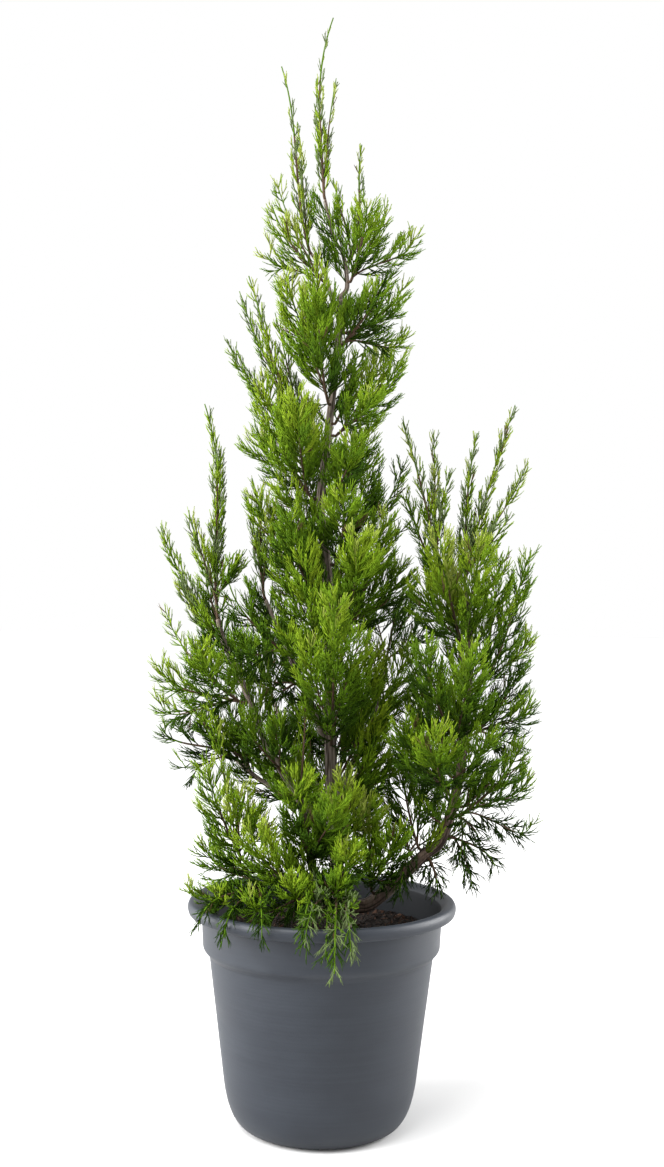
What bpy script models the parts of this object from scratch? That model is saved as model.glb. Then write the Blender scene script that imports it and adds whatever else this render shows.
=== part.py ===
"""A potted upright juniper, 1.23 m tall: a round nursery pot and its soil, a trunk that forks near
its top, the boughs it carries, and the masses of foliage on them, each a solid of its own.
Metres, +Z up. The origin is the middle of the pot's flat underside, and the front faces -Y."""

import math
from collections import namedtuple

import bmesh
import bpy
import numpy as np

# Pot: a turned plastic shell with a rolled lip, a straight collar and a tapering body
LIP_RADIUS = 0.150
POT_HEIGHT = 0.249
LIP_DEPTH = 0.0145
LIP_INNER_RADIUS = 0.139
LIP_ROUND = (0.0055, 0.0085)
LIP_TURNS = np.radians([80.0, 35.0, -10.0, -60.0])
COLLAR_RADIUS = 0.134
COLLAR_FOOT_RADIUS = 0.132
COLLAR_DEPTH = 0.052
STEP_DEPTH = 0.008
BODY_TOP_RADIUS = 0.1248
BODY_FOOT_RADIUS = 0.1057
BODY_FOOT_HEIGHT = 0.037
FOOT_CURVE = [(0.1007, 0.024), (0.094, 0.010), (0.0858, 0.0035)]
FOOT_RADIUS = 0.0826
FLOOR_RADIUS = 0.086
WALL = 0.0022
FLOOR = 0.006
NOTCHES = 8
NOTCH_START = math.radians(6.5)
NOTCH_SIZE = (0.024, 0.014, 0.006)
TURN_STEPS = 28

# Soil: it stands a little below the rim
SOIL_HEIGHT = 0.2135
SOIL_EDGE_DROP = 0.003
SOIL_FLAT_RADIUS = 0.070

# Limbs: the trunk flares out where it meets the soil
TRUNK_SIDES = 12
TRUNK_POINTS = 12
BOUGH_SIDES = 6
BOUGH_EXTRA_POINTS = 3
TAPER = 0.8
FLARE = 0.0058
FLARE_HEIGHT = 0.016
FLARE_POINT = 0.18
CURVE_STEPS = 12

# Pieces that touch on the plant are kept this far apart
GAP = 0.0003

# Leads: the paths of the shoots that a mass's stem parts into
LEAD_POINTS = 8
LEAD_ARM = 0.36
LEAD_TURN_IN = 0.35
STUB = 0.004
STEM_OUT = 0.6
STEM_CLIMB = 0.3
SIDE_LEAD_START = 0.10
SIDE_LEAD_STEP = 0.14
SIDE_LEAD_FOLLOW = 0.4

# Foliage: each lead is a plume, a slim core with three fins that are cut into forward teeth, and
# a tooth stands for a spray
FINS = 3
FIN_FOOT = 1.5
FIN_TWIST = math.radians(11)
BARE_FOOT = 0.014
MOST_BARE = 0.3
CORE_RADIUS = 0.0026
CORE_TIP_RADIUS = 0.0012
SIDE_CORE = 0.8
TOOTH_PITCH = 1.2
SHORTEST_PITCH = 0.026
TOOTH_ROOT = 0.35
TOOTH_REACH = 1.2
TOOTH_REACH_AT_TIP = 0.45
TOOTH_LENGTHS = (0.8, 1.15)
TOOTH_SWEEP = (1.12, 1.6)
TOOTH_TRIALS = (1.0, 0.8, 0.6, 0.4)
TOOTH_TESTS = np.linspace(0.25, 1.0, 6)[:, None]
END_TOOTH = 0.8
FRAME_STEP = 0.03

# A tooth keeps this far from other masses and limbs, and from the other leads of its mass
CLEARANCE = 0.0024
LEAD_CLEARANCE = 0.0005
SEED = 41

UP = np.array([0.0, 0.0, 1.0])

# A limb leaves its carrier at a height above the underside, or grows on from its carrier's tip
Limb = namedtuple("Limb", "carrier height foot_radius tip_radius path")
TIP = None

LIMBS = {
    "trunk": Limb(None, 0.0, 0.0082, 0.0034, [
        (0.020, 0.016, 0.2138), (0.016, 0.014, 0.290), (0.009, 0.012, 0.378), (0.003, 0.005, 0.595),
        (-0.007, 0.0, 0.683), (-0.001, 0.0, 0.751), (0.012, 0.0, 0.882), (0.013, 0.0, 0.919)]),
    "left_leader": Limb("trunk", 0.908, 0.0026, 0.0018, [
        (-0.006, 0.001, 0.950), (-0.020, 0.004, 0.970)]),
    "right_leader": Limb("trunk", TIP, 0.0028, 0.0016, [
        (0.020, 0.0, 0.934), (0.015, 0.0, 0.969), (0.005, 0.0, 0.987), (-0.006, 0.0, 1.031)]),
    "right_stem": Limb("trunk", 0.236, 0.0082, 0.0036, [
        (0.061, 0.012, 0.246), (0.112, 0.002, 0.297), (0.134, 0.0, 0.320), (0.151, 0.0, 0.383),
        (0.159, 0.0, 0.455), (0.162, 0.0, 0.529), (0.156, 0.0, 0.594)]),
    "front_stem": Limb("trunk", 0.240, 0.0050, 0.0036, [
        (-0.002, -0.020, 0.258), (-0.013, -0.034, 0.300), (-0.022, -0.045, 0.353)]),
    "left_bough": Limb("trunk", 0.312, 0.0052, 0.0028, [
        (-0.026, 0.002, 0.359), (-0.064, -0.010, 0.423), (-0.082, -0.015, 0.471),
        (-0.110, -0.020, 0.532), (-0.118, -0.020, 0.560)]),
    "left_side_bough": Limb("trunk", 0.338, 0.0040, 0.0024, [
        (-0.020, 0.024, 0.350), (-0.070, 0.035, 0.374), (-0.100, 0.040, 0.398)]),
    "left_upper_bough": Limb("trunk", 0.430, 0.0034, 0.0022, [
        (-0.010, 0.004, 0.455), (-0.039, 0.0, 0.519), (-0.055, 0.0, 0.554), (-0.067, 0.0, 0.582)]),
    "left_low_bough": Limb("trunk", 0.262, 0.0040, 0.0026, [
        (-0.020, 0.002, 0.268), (-0.060, -0.010, 0.276), (-0.085, -0.024, 0.294)]),
    "right_inner_bough": Limb("right_stem", 0.505, 0.0028, 0.0020, [
        (0.148, -0.008, 0.548), (0.138, -0.010, 0.585), (0.126, -0.015, 0.623)]),
    "rear_right_bough": Limb("trunk", 0.365, 0.0042, 0.0024, [
        (0.030, 0.040, 0.390), (0.055, 0.075, 0.440), (0.070, 0.095, 0.500)]),
    "rear_left_bough": Limb("trunk", 0.350, 0.0042, 0.0024, [
        (-0.012, 0.045, 0.375), (-0.042, 0.080, 0.420), (-0.060, 0.095, 0.460)]),
}

# A mass has one stem from its carrier. A lead is one of the shoots its stem parts into: where it
# ends, how far its foliage stands out from it, and whether its end rises or droops.
Mass = namedtuple("Mass", "carrier height leads")
Lead = namedtuple("Lead", "tip spread rise", defaults=[1.0])
DROOP = -1.2

MASSES = {
    "crown_lead": Mass("right_leader", TIP, [
        Lead((0.001, 0.0, 1.234), 0.013), Lead((0.005, 0.025, 1.175), 0.011),
        Lead((-0.017, -0.020, 1.159), 0.011)]),
    "left_lead": Mass("left_leader", TIP, [
        Lead((-0.057, 0.020, 1.186), 0.014), Lead((-0.039, 0.040, 1.130), 0.013),
        Lead((-0.020, 0.030, 1.047), 0.015)]),
    "left_shoulder": Mass("left_leader", 0.940, [
        Lead((-0.064, -0.030, 1.016), 0.022), Lead((-0.069, -0.010, 0.968), 0.026),
        Lead((-0.060, 0.025, 1.052), 0.013)]),
    "right_lead": Mass("right_leader", 0.961, [
        Lead((0.035, 0.025, 1.100), 0.014), Lead((0.003, -0.025, 1.048), 0.015)]),
    "right_shoulder": Mass("right_leader", 0.938, [
        Lead((0.041, -0.035, 1.014), 0.022), Lead((0.062, 0.025, 1.024), 0.018),
        Lead((0.095, 0.005, 0.989), 0.020)]),
    "right_upper": Mass("trunk", 0.868, [
        Lead((0.052, -0.045, 0.921), 0.026), Lead((0.083, 0.020, 0.938), 0.015),
        Lead((0.085, 0.030, 0.882), 0.019)]),
    "right_mid": Mass("trunk", 0.767, [
        Lead((0.078, -0.012, 0.850), 0.026), Lead((0.046, -0.065, 0.803), 0.026),
        Lead((0.062, 0.070, 0.874), 0.026)]),
    "centre_top": Mass("trunk", 0.801, [
        Lead((-0.013, -0.065, 0.930), 0.026), Lead((-0.048, -0.030, 0.936), 0.025),
        Lead((-0.020, 0.075, 0.935), 0.028)]),
    "left_tufts": Mass("trunk", 0.739, [
        Lead((-0.089, -0.020, 0.940), 0.014), Lead((-0.103, 0.040, 0.935), 0.012),
        Lead((-0.112, -0.020, 0.870), 0.015), Lead((-0.062, 0.040, 0.911), 0.014)]),
    "left_mid": Mass("trunk", 0.695, [
        Lead((-0.073, -0.020, 0.820), 0.028), Lead((-0.078, 0.020, 0.762), 0.028),
        Lead((-0.032, -0.080, 0.798), 0.028), Lead((-0.030, 0.080, 0.800), 0.030)]),
    "right_mid_low": Mass("trunk", 0.689, [
        Lead((0.048, -0.020, 0.777), 0.026), Lead((0.027, -0.075, 0.752), 0.027),
        Lead((0.030, 0.085, 0.770), 0.030)]),
    "right_low_mid": Mass("trunk", 0.622, [
        Lead((0.043, -0.025, 0.718), 0.024), Lead((0.019, -0.085, 0.694), 0.027)]),
    "left_low_mid": Mass("trunk", 0.577, [
        Lead((-0.077, -0.015, 0.694), 0.026), Lead((-0.067, 0.040, 0.658), 0.024),
        Lead((-0.040, -0.080, 0.669), 0.027)]),
    "left_sub_spire": Mass("left_upper_bough", TIP, [
        Lead((-0.084, 0.0, 0.718), 0.012), Lead((-0.089, 0.025, 0.695), 0.010),
        Lead((-0.065, -0.015, 0.648), 0.013)]),
    "right_rear_upper": Mass("trunk", 0.600, [
        Lead((0.055, 0.060, 0.742), 0.018), Lead((0.088, 0.055, 0.739), 0.018),
        Lead((0.083, 0.045, 0.662), 0.020)]),
    "right_centre": Mass("trunk", 0.533, [
        Lead((0.063, -0.045, 0.670), 0.028), Lead((0.083, 0.010, 0.620), 0.027),
        Lead((0.036, -0.100, 0.649), 0.029)]),
    "centre_left_front": Mass("trunk", 0.482, [
        Lead((-0.023, -0.080, 0.640), 0.027), Lead((-0.047, -0.040, 0.622), 0.025),
        Lead((-0.040, -0.075, 0.545), 0.027)]),
    "centre_front": Mass("trunk", 0.421, [
        Lead((0.010, -0.135, 0.583), 0.030), Lead((-0.014, -0.110, 0.535), 0.027),
        Lead((0.031, -0.100, 0.545), 0.027)]),
    "centre_right_low": Mass("trunk", 0.387, [
        Lead((0.055, -0.010, 0.527), 0.029), Lead((0.090, 0.015, 0.520), 0.027)]),
    "left_spire": Mass("left_bough", TIP, [
        Lead((-0.136, -0.020, 0.798), 0.014), Lead((-0.119, 0.005, 0.754), 0.012),
        Lead((-0.149, -0.045, 0.675), 0.016), Lead((-0.096, -0.030, 0.626), 0.021)]),
    "left_spire_outer": Mass("left_bough", 0.519, [
        Lead((-0.188, 0.020, 0.664), 0.017), Lead((-0.163, -0.015, 0.603), 0.021)]),
    "left_outer": Mass("left_bough", 0.471, [
        Lead((-0.181, -0.035, 0.510), 0.025), Lead((-0.180, 0.015, 0.567), 0.008),
        Lead((-0.130, -0.100, 0.530), 0.030), Lead((-0.186, 0.020, 0.465), 0.022)]),
    "left_inner": Mass("left_upper_bough", 0.524, [
        Lead((-0.104, -0.045, 0.598), 0.027), Lead((-0.084, -0.090, 0.540), 0.028)]),
    "left_inner_twigs": Mass("left_bough", 0.392, [
        Lead((-0.092, -0.055, 0.462), 0.020), Lead((-0.046, -0.070, 0.452), 0.022)]),
    "left_under": Mass("left_side_bough", TIP, [
        Lead((-0.187, 0.030, 0.438), 0.025), Lead((-0.165, 0.065, 0.393), 0.022),
        Lead((-0.095, 0.065, 0.480), 0.026)]),
    "left_column": Mass("left_low_bough", TIP, [
        Lead((-0.125, -0.070, 0.404), 0.024), Lead((-0.124, -0.070, 0.485), 0.008),
        Lead((-0.088, -0.080, 0.373), 0.026), Lead((-0.066, -0.040, 0.332), 0.025)]),
    "rim_left": Mass("left_low_bough", 0.276, [
        Lead((-0.146, -0.040, 0.268), 0.018), Lead((-0.133, 0.015, 0.303), 0.021),
        Lead((-0.112, -0.085, 0.270), 0.019)]),
    "front_left": Mass("front_stem", 0.264, [
        Lead((-0.076, -0.120, 0.276), 0.021), Lead((-0.074, -0.098, 0.338), 0.030),
        Lead((-0.030, -0.125, 0.292), 0.022)]),
    "front_stem_top": Mass("front_stem", TIP, [
        Lead((-0.025, -0.090, 0.388), 0.027), Lead((-0.031, -0.045, 0.532), 0.008)]),
    "bottom_centre": Mass("trunk", 0.286, [
        Lead((0.024, -0.075, 0.386), 0.028), Lead((0.049, -0.050, 0.362), 0.026),
        Lead((0.026, -0.115, 0.320), 0.026)]),
    "rim_sprig": Mass("trunk", 0.263, [
        Lead((0.014, -0.192, 0.217), 0.014, DROOP), Lead((-0.016, -0.176, 0.238), 0.013, DROOP),
        Lead((0.030, -0.174, 0.231), 0.013, DROOP)]),
    "bottom_right": Mass("right_stem", 0.248, [
        Lead((0.055, -0.035, 0.350), 0.027), Lead((0.078, -0.060, 0.328), 0.028)]),
    "bottom_right_inner": Mass("right_stem", 0.299, [
        Lead((0.086, 0.030, 0.397), 0.027), Lead((0.118, 0.040, 0.395), 0.026),
        Lead((0.084, -0.050, 0.262), 0.013, DROOP)]),
    "right_spire": Mass("right_stem", TIP, [
        Lead((0.166, -0.015, 0.770), 0.013), Lead((0.212, 0.020, 0.806), 0.014),
        Lead((0.229, 0.035, 0.744), 0.013), Lead((0.200, -0.025, 0.679), 0.015)]),
    "right_inner_spire": Mass("right_inner_bough", TIP, [
        Lead((0.083, -0.015, 0.781), 0.011), Lead((0.119, 0.015, 0.774), 0.012),
        Lead((0.134, -0.030, 0.725), 0.013)]),
    "right_body_front": Mass("right_stem", 0.523, [
        Lead((0.122, -0.075, 0.649), 0.028), Lead((0.163, -0.080, 0.643), 0.028),
        Lead((0.106, -0.045, 0.598), 0.025)]),
    "right_outer": Mass("right_stem", 0.484, [
        Lead((0.227, 0.0, 0.634), 0.021), Lead((0.190, -0.045, 0.628), 0.027),
        Lead((0.232, 0.035, 0.540), 0.023)]),
    "right_lower_front": Mass("right_stem", 0.417, [
        Lead((0.105, -0.110, 0.535), 0.031), Lead((0.151, -0.120, 0.531), 0.031)]),
    "right_lower_outer": Mass("right_stem", 0.434, [
        Lead((0.219, 0.010, 0.509), 0.025), Lead((0.225, -0.030, 0.471), 0.023),
        Lead((0.222, 0.045, 0.430), 0.022)]),
    "right_low_front": Mass("right_stem", 0.366, [
        Lead((0.087, -0.070, 0.449), 0.028), Lead((0.116, -0.120, 0.445), 0.031),
        Lead((0.172, -0.085, 0.440), 0.027)]),
    "right_low_outer": Mass("right_stem", 0.347, [
        Lead((0.217, -0.020, 0.424), 0.026), Lead((0.233, 0.030, 0.384), 0.023),
        Lead((0.238, 0.030, 0.331), 0.018)]),
    "right_droop": Mass("right_stem", 0.323, [
        Lead((0.193, 0.0, 0.287), 0.014, DROOP), Lead((0.165, -0.030, 0.268), 0.012, DROOP)]),
    "rear_right": Mass("rear_right_bough", TIP, [
        Lead((0.092, 0.090, 0.597), 0.027), Lead((0.055, 0.140, 0.590), 0.030),
        Lead((0.118, 0.130, 0.550), 0.030)]),
    "rear_left": Mass("rear_left_bough", TIP, [
        Lead((-0.080, 0.100, 0.560), 0.028), Lead((-0.115, 0.130, 0.520), 0.030),
        Lead((-0.045, 0.150, 0.530), 0.030)]),
    "rear_low": Mass("trunk", 0.292, [
        Lead((-0.028, 0.125, 0.370), 0.032), Lead((0.055, 0.125, 0.365), 0.032)]),
    "rear_mid": Mass("trunk", 0.516, [
        Lead((-0.012, 0.110, 0.650), 0.030), Lead((0.026, 0.145, 0.630), 0.030)]),
}


def unit(vector):
    """The vector at length 1."""
    vector = np.asarray(vector, float)
    return vector / np.linalg.norm(vector)


def along(path, shares):
    """Points at the given shares of the path's length, on its straight stretches."""
    path = np.asarray(path, float)
    reached = np.concatenate([[0.0], np.cumsum(np.linalg.norm(np.diff(path, axis=0), axis=1))])
    wanted = np.asarray(shares, float) * reached[-1]
    return np.stack([np.interp(wanted, reached, path[:, axis]) for axis in range(3)], axis=-1)


def smooth_path(points, count):
    """A Catmull-Rom curve through the points, read off at evenly spaced places."""
    points = np.asarray(points, float)
    ends = np.vstack([2 * points[0] - points[1], points, 2 * points[-1] - points[-2]])
    t = np.linspace(0.0, 1.0, CURVE_STEPS, endpoint=False)[:, None]
    curve = [0.5 * (2 * b + (c - a) * t + (2 * a - 5 * b + 4 * c - d) * t ** 2
                    + (3 * b - a - 3 * c + d) * t ** 3)
             for a, b, c, d in zip(ends, ends[1:], ends[2:], ends[3:])]
    return along(np.vstack(curve + [points[-1:]]), np.linspace(0.0, 1.0, count))


def bezier_path(foot, way_out, tip, way_in, count):
    """A cubic curve that leaves the foot along way_out and comes to the tip along way_in."""
    arm = LEAD_ARM * np.linalg.norm(np.asarray(tip) - foot)
    a, b, c, d = foot, foot + way_out * arm, tip - way_in * arm, np.asarray(tip, float)
    t = np.linspace(0.0, 1.0, count)[:, None]
    return (1 - t) ** 3 * a + 3 * t * (1 - t) ** 2 * b + 3 * t ** 2 * (1 - t) * c + t ** 3 * d


def limb_radii(name, path):
    """A limb tapers evenly to its tip, and the trunk flares out where it meets the soil."""
    limb = LIMBS[name]
    share = np.linspace(0.0, 1.0, len(path))
    radii = limb.foot_radius + (limb.tip_radius - limb.foot_radius) * share ** TAPER
    if limb.carrier is None:
        radii = radii + FLARE * np.exp(-(path[:, 2] - path[0, 2]) / FLARE_HEIGHT)
    return radii


def leave(grown, carrier, height, toward, foot_radius):
    """Where a stem leaves its carrier, and which way: from the carrier's end, or straight out
    of its side towards a point, clear of the wider wood under it."""
    path, radii = grown[carrier]
    if height is TIP:
        way = unit(path[-1] - path[-2])
        return path[-1] + way * GAP, way
    heights = path[:, 2]
    axis_point = np.array([np.interp(height, heights, path[:, axis]) for axis in range(3)])
    stretch = min(int(np.searchsorted(heights, height)), len(path) - 1)
    axis_way = unit(path[stretch] - path[stretch - 1])
    side = np.asarray(toward, float) - axis_point
    side = unit(side - axis_way * side.dot(axis_way))
    radius = np.interp(height - foot_radius, heights, radii)
    return axis_point + side * (radius + GAP), side


def grow_limbs():
    """Each limb's path and its radius along it, by name."""
    grown = {}
    for name, limb in LIMBS.items():
        points = [np.array(point) for point in limb.path]
        if limb.carrier is None:
            path = smooth_path(points, TRUNK_POINTS)
            upright = path[:1] + UP * (path[1, 2] - path[0, 2]) * FLARE_POINT
            path = np.vstack([path[:1], upright, path[1:]])
        else:
            foot, way = leave(grown, limb.carrier, limb.height, points[0], limb.foot_radius)
            stub = foot + way * limb.foot_radius
            path = smooth_path([stub] + points, BOUGH_EXTRA_POINTS + len(points))
            path = np.vstack([foot, path])
        grown[name] = (path, limb_radii(name, path))
    return grown


def grow_leads():
    """Each mass's leads as paths. The first is its stem, and the others part from it near its
    foot."""
    leads = {}
    for name, mass in MASSES.items():
        foot, way = leave(GROWN, mass.carrier, mass.height, mass.leads[0].tip, CORE_RADIUS)
        stub = foot + way * STUB
        leads[name] = []
        for number, lead in enumerate(mass.leads):
            tip = np.array(lead.tip)
            level = unit((tip - stub) * (1.0, 1.0, 0.0))
            way_in = unit(level * LEAD_TURN_IN + UP * lead.rise)
            if number == 0:
                way_out = unit(unit(tip - stub) + way * STEM_OUT + UP * STEM_CLIMB)
                path = np.vstack([foot, bezier_path(stub, way_out, tip, way_in, LEAD_POINTS)])
                first = path[2] - path[1]
            else:
                start = stub + first * (SIDE_LEAD_START + SIDE_LEAD_STEP * number)
                way_out = unit(unit(tip - start) + unit(first) * SIDE_LEAD_FOLLOW)
                path = bezier_path(start, way_out, tip, way_in, LEAD_POINTS + 1)
            leads[name].append(path)
    return leads


def distance(points, starts, steps):
    """Each point's distance to each straight stretch, and the share along it of the near place."""
    offset = points[:, None] - starts
    share = np.clip((offset * steps).sum(-1) / (steps ** 2).sum(-1), 0.0, 1.0)
    return np.linalg.norm(offset - share[..., None] * steps, axis=-1), share


class Space:
    """The room round the plant, shared out among the leads. A lead's space is every place that
    lies nearer to it than to any other lead, measured in their spreads, and that is clear of
    the limbs, the pot and the soil."""

    def __init__(self):
        self.keys = [(name, number) for name in MASSES for number in range(len(LEADS[name]))]
        paths = [LEADS[name][number] for name, number in self.keys]
        self.lead_starts = np.vstack([path[:-1] for path in paths])
        self.lead_steps = np.vstack([np.diff(path, axis=0) for path in paths])
        self.spreads = np.array([MASSES[name].leads[number].spread for name, number in self.keys])
        self.limb_starts = np.vstack([path[:-1] for path, _ in GROWN.values()])
        self.limb_steps = np.vstack([np.diff(path, axis=0) for path, _ in GROWN.values()])
        self.limb_radii = np.concatenate([radii[:-1] for _, radii in GROWN.values()])
        self.limb_tapers = np.concatenate([np.diff(radii) for _, radii in GROWN.values()])

    def holds(self, name, number, points):
        """True where all the points lie in one lead's space."""
        away, _ = distance(points, self.lead_starts, self.lead_steps)
        away = away.reshape(len(points), len(self.keys), LEAD_POINTS).min(axis=-1)
        mine = self.keys.index((name, number))
        own = away[:, mine] / self.spreads[mine]
        room = np.array([LEAD_CLEARANCE if key[0] == name else CLEARANCE for key in self.keys])
        others = (away - room) / self.spreads
        others[:, mine] = np.inf
        away, share = distance(points, self.limb_starts, self.limb_steps)
        to_limbs = (away - self.limb_radii - share * self.limb_tapers).min()
        level = np.hypot(points[:, 0], points[:, 1])
        height = points[:, 2]
        low = (height < POT_HEIGHT + CLEARANCE) & (level < LIP_RADIUS + CLEARANCE)
        in_mouth = (level < COLLAR_RADIUS - 2 * CLEARANCE) & (height > SOIL_HEIGHT + CLEARANCE)
        return (others.min(axis=1) > own).all() and to_limbs > CLEARANCE and not (low & ~in_mouth).any()


class Plume:
    """One lead as a solid: a six-sided core that grows three fins, each cut into forward teeth.
    A tooth reaches out to the lead's spread, less towards the lead's tip, and one that would
    leave the lead's space is tried shorter and then left out."""

    def __init__(self, name, number, draws):
        self.name, self.number, self.draws = name, number, draws
        self.path = LEADS[name][number]
        self.spread = MASSES[name].leads[number].spread
        self.run = np.linalg.norm(np.diff(self.path, axis=0), axis=1).sum()
        self.across = unit(np.cross(self.path[-1] - self.path[0], UP))
        self.points, self.faces = [], []

    def frame(self, share):
        """The place at a share of the lead's length, its way there, and two ways across it."""
        shares = [max(share - FRAME_STEP, 0.0), share, min(share + FRAME_STEP, 1.0)]
        behind, here, ahead = along(self.path, shares)
        way = unit(self.path[1] - self.path[0]) if share == 0.0 else unit(ahead - behind)
        side = unit(self.across - way * self.across.dot(way))
        return here, way, side, np.cross(way, side)

    def core(self, share):
        """The core's radius, which is less on a side lead."""
        scale = 1.0 if self.number == 0 else SIDE_CORE
        return scale * (CORE_RADIUS + (CORE_TIP_RADIUS - CORE_RADIUS) * share)

    def ring(self, share, turn, fin_foot=1.0):
        """Six corners round the core, and every second one on a fin."""
        here, _, side, front = self.frame(share)
        first = len(self.points)
        for corner in range(2 * FINS):
            angle = turn + corner * math.pi / FINS
            radius = self.core(share) * (fin_foot if corner % 2 == 0 else 1.0)
            self.points.append(here + (side * math.cos(angle) + front * math.sin(angle)) * radius)
        return [first + corner for corner in range(2 * FINS)]

    def tooth(self, share, pitch, turn):
        """The corner at a tooth's tip."""
        root_share = share + TOOTH_ROOT * pitch
        root, way, side, front = self.frame(root_share)
        out = side * math.cos(turn) + front * math.sin(turn)
        length, sweep = self.draws.random(2)
        reach = TOOTH_REACH + (TOOTH_REACH_AT_TIP - TOOTH_REACH) * root_share ** 2
        reach *= self.spread * (TOOTH_LENGTHS[0] + (TOOTH_LENGTHS[1] - TOOTH_LENGTHS[0]) * length)
        step = out + way * (TOOTH_SWEEP[0] + (TOOTH_SWEEP[1] - TOOTH_SWEEP[0]) * sweep)
        low, high = along(self.path, [share, min(share + pitch, 1.0)])
        for trial in TOOTH_TRIALS:
            tip = root + step * reach * trial
            tests = [start + (tip - start) * TOOTH_TESTS for start in (low, root, high)]
            if SPACE.holds(self.name, self.number, np.vstack(tests)):
                break
        else:
            tip = root + out * self.core(share) * FIN_FOOT
        self.points.append(tip)
        return len(self.points) - 1

    def bridge(self, low, high):
        """Plain sides between two rings."""
        for corner in range(2 * FINS):
            after = (corner + 1) % (2 * FINS)
            self.faces.append((low[corner], low[after], high[after], high[corner]))

    def bridge_teeth(self, low, tips, high):
        """Three triangles down each side of each fin, from one notch round its tooth to the next.
        At the lead's tip all of high is one corner, and the triangles it flattens are left out."""
        for fin in range(FINS):
            notch, tip = 2 * fin, tips[fin]
            for valley, forward in ((notch + 1, True), (notch - 1, False)):
                valley %= 2 * FINS
                for face in ((low[notch], low[valley], tip), (tip, low[valley], high[notch]),
                             (high[notch], low[valley], high[valley])):
                    if len(set(face)) == 3:
                        self.faces.append(face if forward else face[::-1])

    def build(self):
        """A mesh object: the bare foot, then a notch and three teeth at each pitch."""
        stub = STUB / self.run if self.number == 0 else 0.0
        bare = min(MOST_BARE, BARE_FOOT / self.run + stub)
        longest = max(SHORTEST_PITCH, TOOTH_PITCH * self.spread)
        teeth = max(2, round(self.run * (1.0 - bare) / longest))
        pitch = (1.0 - bare) / (teeth + END_TOOTH)
        turn = self.draws.random() * math.tau
        last = self.ring(0.0, turn)
        self.faces.append(tuple(reversed(last)))
        for share in [stub, bare * SIDE_CORE][self.number > 0:]:
            here = self.ring(share, turn)
            self.bridge(last, here)
            last = here
        tips = None
        for number in range(teeth):
            share = bare + pitch * number
            here = self.ring(share, turn, FIN_FOOT)
            if tips is None:
                self.bridge(last, here)
            else:
                self.bridge_teeth(last, tips, here)
            turns = [turn + FIN_TWIST / 2 + fin * math.tau / FINS for fin in range(FINS)]
            tips = [self.tooth(share, pitch, fin_turn) for fin_turn in turns]
            last = here
            turn += FIN_TWIST
        self.points.append(self.path[-1])
        self.bridge_teeth(last, tips, [len(self.points) - 1] * (2 * FINS))
        return new_mesh_object(f"{self.name}_lead_{self.number}", self.points, self.faces)


def new_mesh_object(name, points, faces):
    """A mesh object from its corners and faces."""
    mesh = bpy.data.meshes.new(name)
    mesh.from_pydata([tuple(point) for point in points], [], faces)
    mesh.validate()
    return bpy.data.objects.new(name, mesh)


def material(name, colour, roughness):
    """A plain Principled BSDF in one colour."""
    made = bpy.data.materials.new(name)
    made.use_nodes = True
    shader = made.node_tree.nodes["Principled BSDF"]
    shader.inputs["Base Color"].default_value = (*colour, 1.0)
    shader.inputs["Roughness"].default_value = roughness
    return made


def tube(name, path, radii, sides):
    """A tapering tube along a path, as a curve with a round bevel and filled caps."""
    curve = bpy.data.curves.new(name, "CURVE")
    curve.dimensions = "3D"
    curve.bevel_depth = 1.0
    curve.bevel_resolution = (sides - 4) // 2
    curve.use_fill_caps = True
    spline = curve.splines.new("POLY")
    spline.points.add(len(path) - 1)
    spline.points.foreach_set("co", np.c_[path, np.ones(len(path))].ravel())
    spline.points.foreach_set("radius", np.asarray(radii, float))
    return bpy.data.objects.new(name, curve)


def turned(name, profile):
    """A shape turned about the vertical axis from a closed outline, outer side downwards."""
    points = [(radius, 0.0, height) for radius, height in profile]
    mesh = bpy.data.meshes.new(name)
    mesh.from_pydata(points, [(i, i + 1) for i in range(len(points) - 1)], [])
    made = bpy.data.objects.new(name, mesh)
    screw = made.modifiers.new("Turn", "SCREW")
    screw.steps = TURN_STEPS
    screw.render_steps = TURN_STEPS
    screw.use_merge_vertices = True
    screw.merge_threshold = 0.00001
    screw.use_smooth_shade = True
    return made


def pot_profile():
    """The pot's outline from the lip's inner edge, down the outside, and up the inside."""
    collar_foot = POT_HEIGHT - COLLAR_DEPTH
    lip = [(LIP_RADIUS - LIP_ROUND[0] * (1.0 - math.cos(turn)),
            POT_HEIGHT - LIP_ROUND[1] * (1.0 - math.sin(turn))) for turn in LIP_TURNS]
    outside = [(LIP_INNER_RADIUS, POT_HEIGHT)] + lip + [
        (COLLAR_RADIUS, POT_HEIGHT - LIP_DEPTH), (COLLAR_FOOT_RADIUS, collar_foot),
        (BODY_TOP_RADIUS, collar_foot - STEP_DEPTH), (BODY_FOOT_RADIUS, BODY_FOOT_HEIGHT)]
    return outside + FOOT_CURVE + [(FOOT_RADIUS, 0.0), (0.0, 0.0)] + pot_inside(0.0)


def pot_inside(inset):
    """The inner wall from the middle of the floor up to the lip, drawn in by an inset."""
    collar_foot = POT_HEIGHT - COLLAR_DEPTH
    wall = [(0.0, FLOOR), (FLOOR_RADIUS, FLOOR), (BODY_FOOT_RADIUS - WALL, BODY_FOOT_HEIGHT),
            (BODY_TOP_RADIUS - WALL, collar_foot - STEP_DEPTH),
            (COLLAR_FOOT_RADIUS - WALL, collar_foot + WALL),
            (COLLAR_RADIUS - WALL, POT_HEIGHT - LIP_DEPTH), (LIP_INNER_RADIUS, POT_HEIGHT)]
    return [(max(radius - inset, 0.0), height + (inset if height == FLOOR else 0.0))
            for radius, height in wall]


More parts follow.
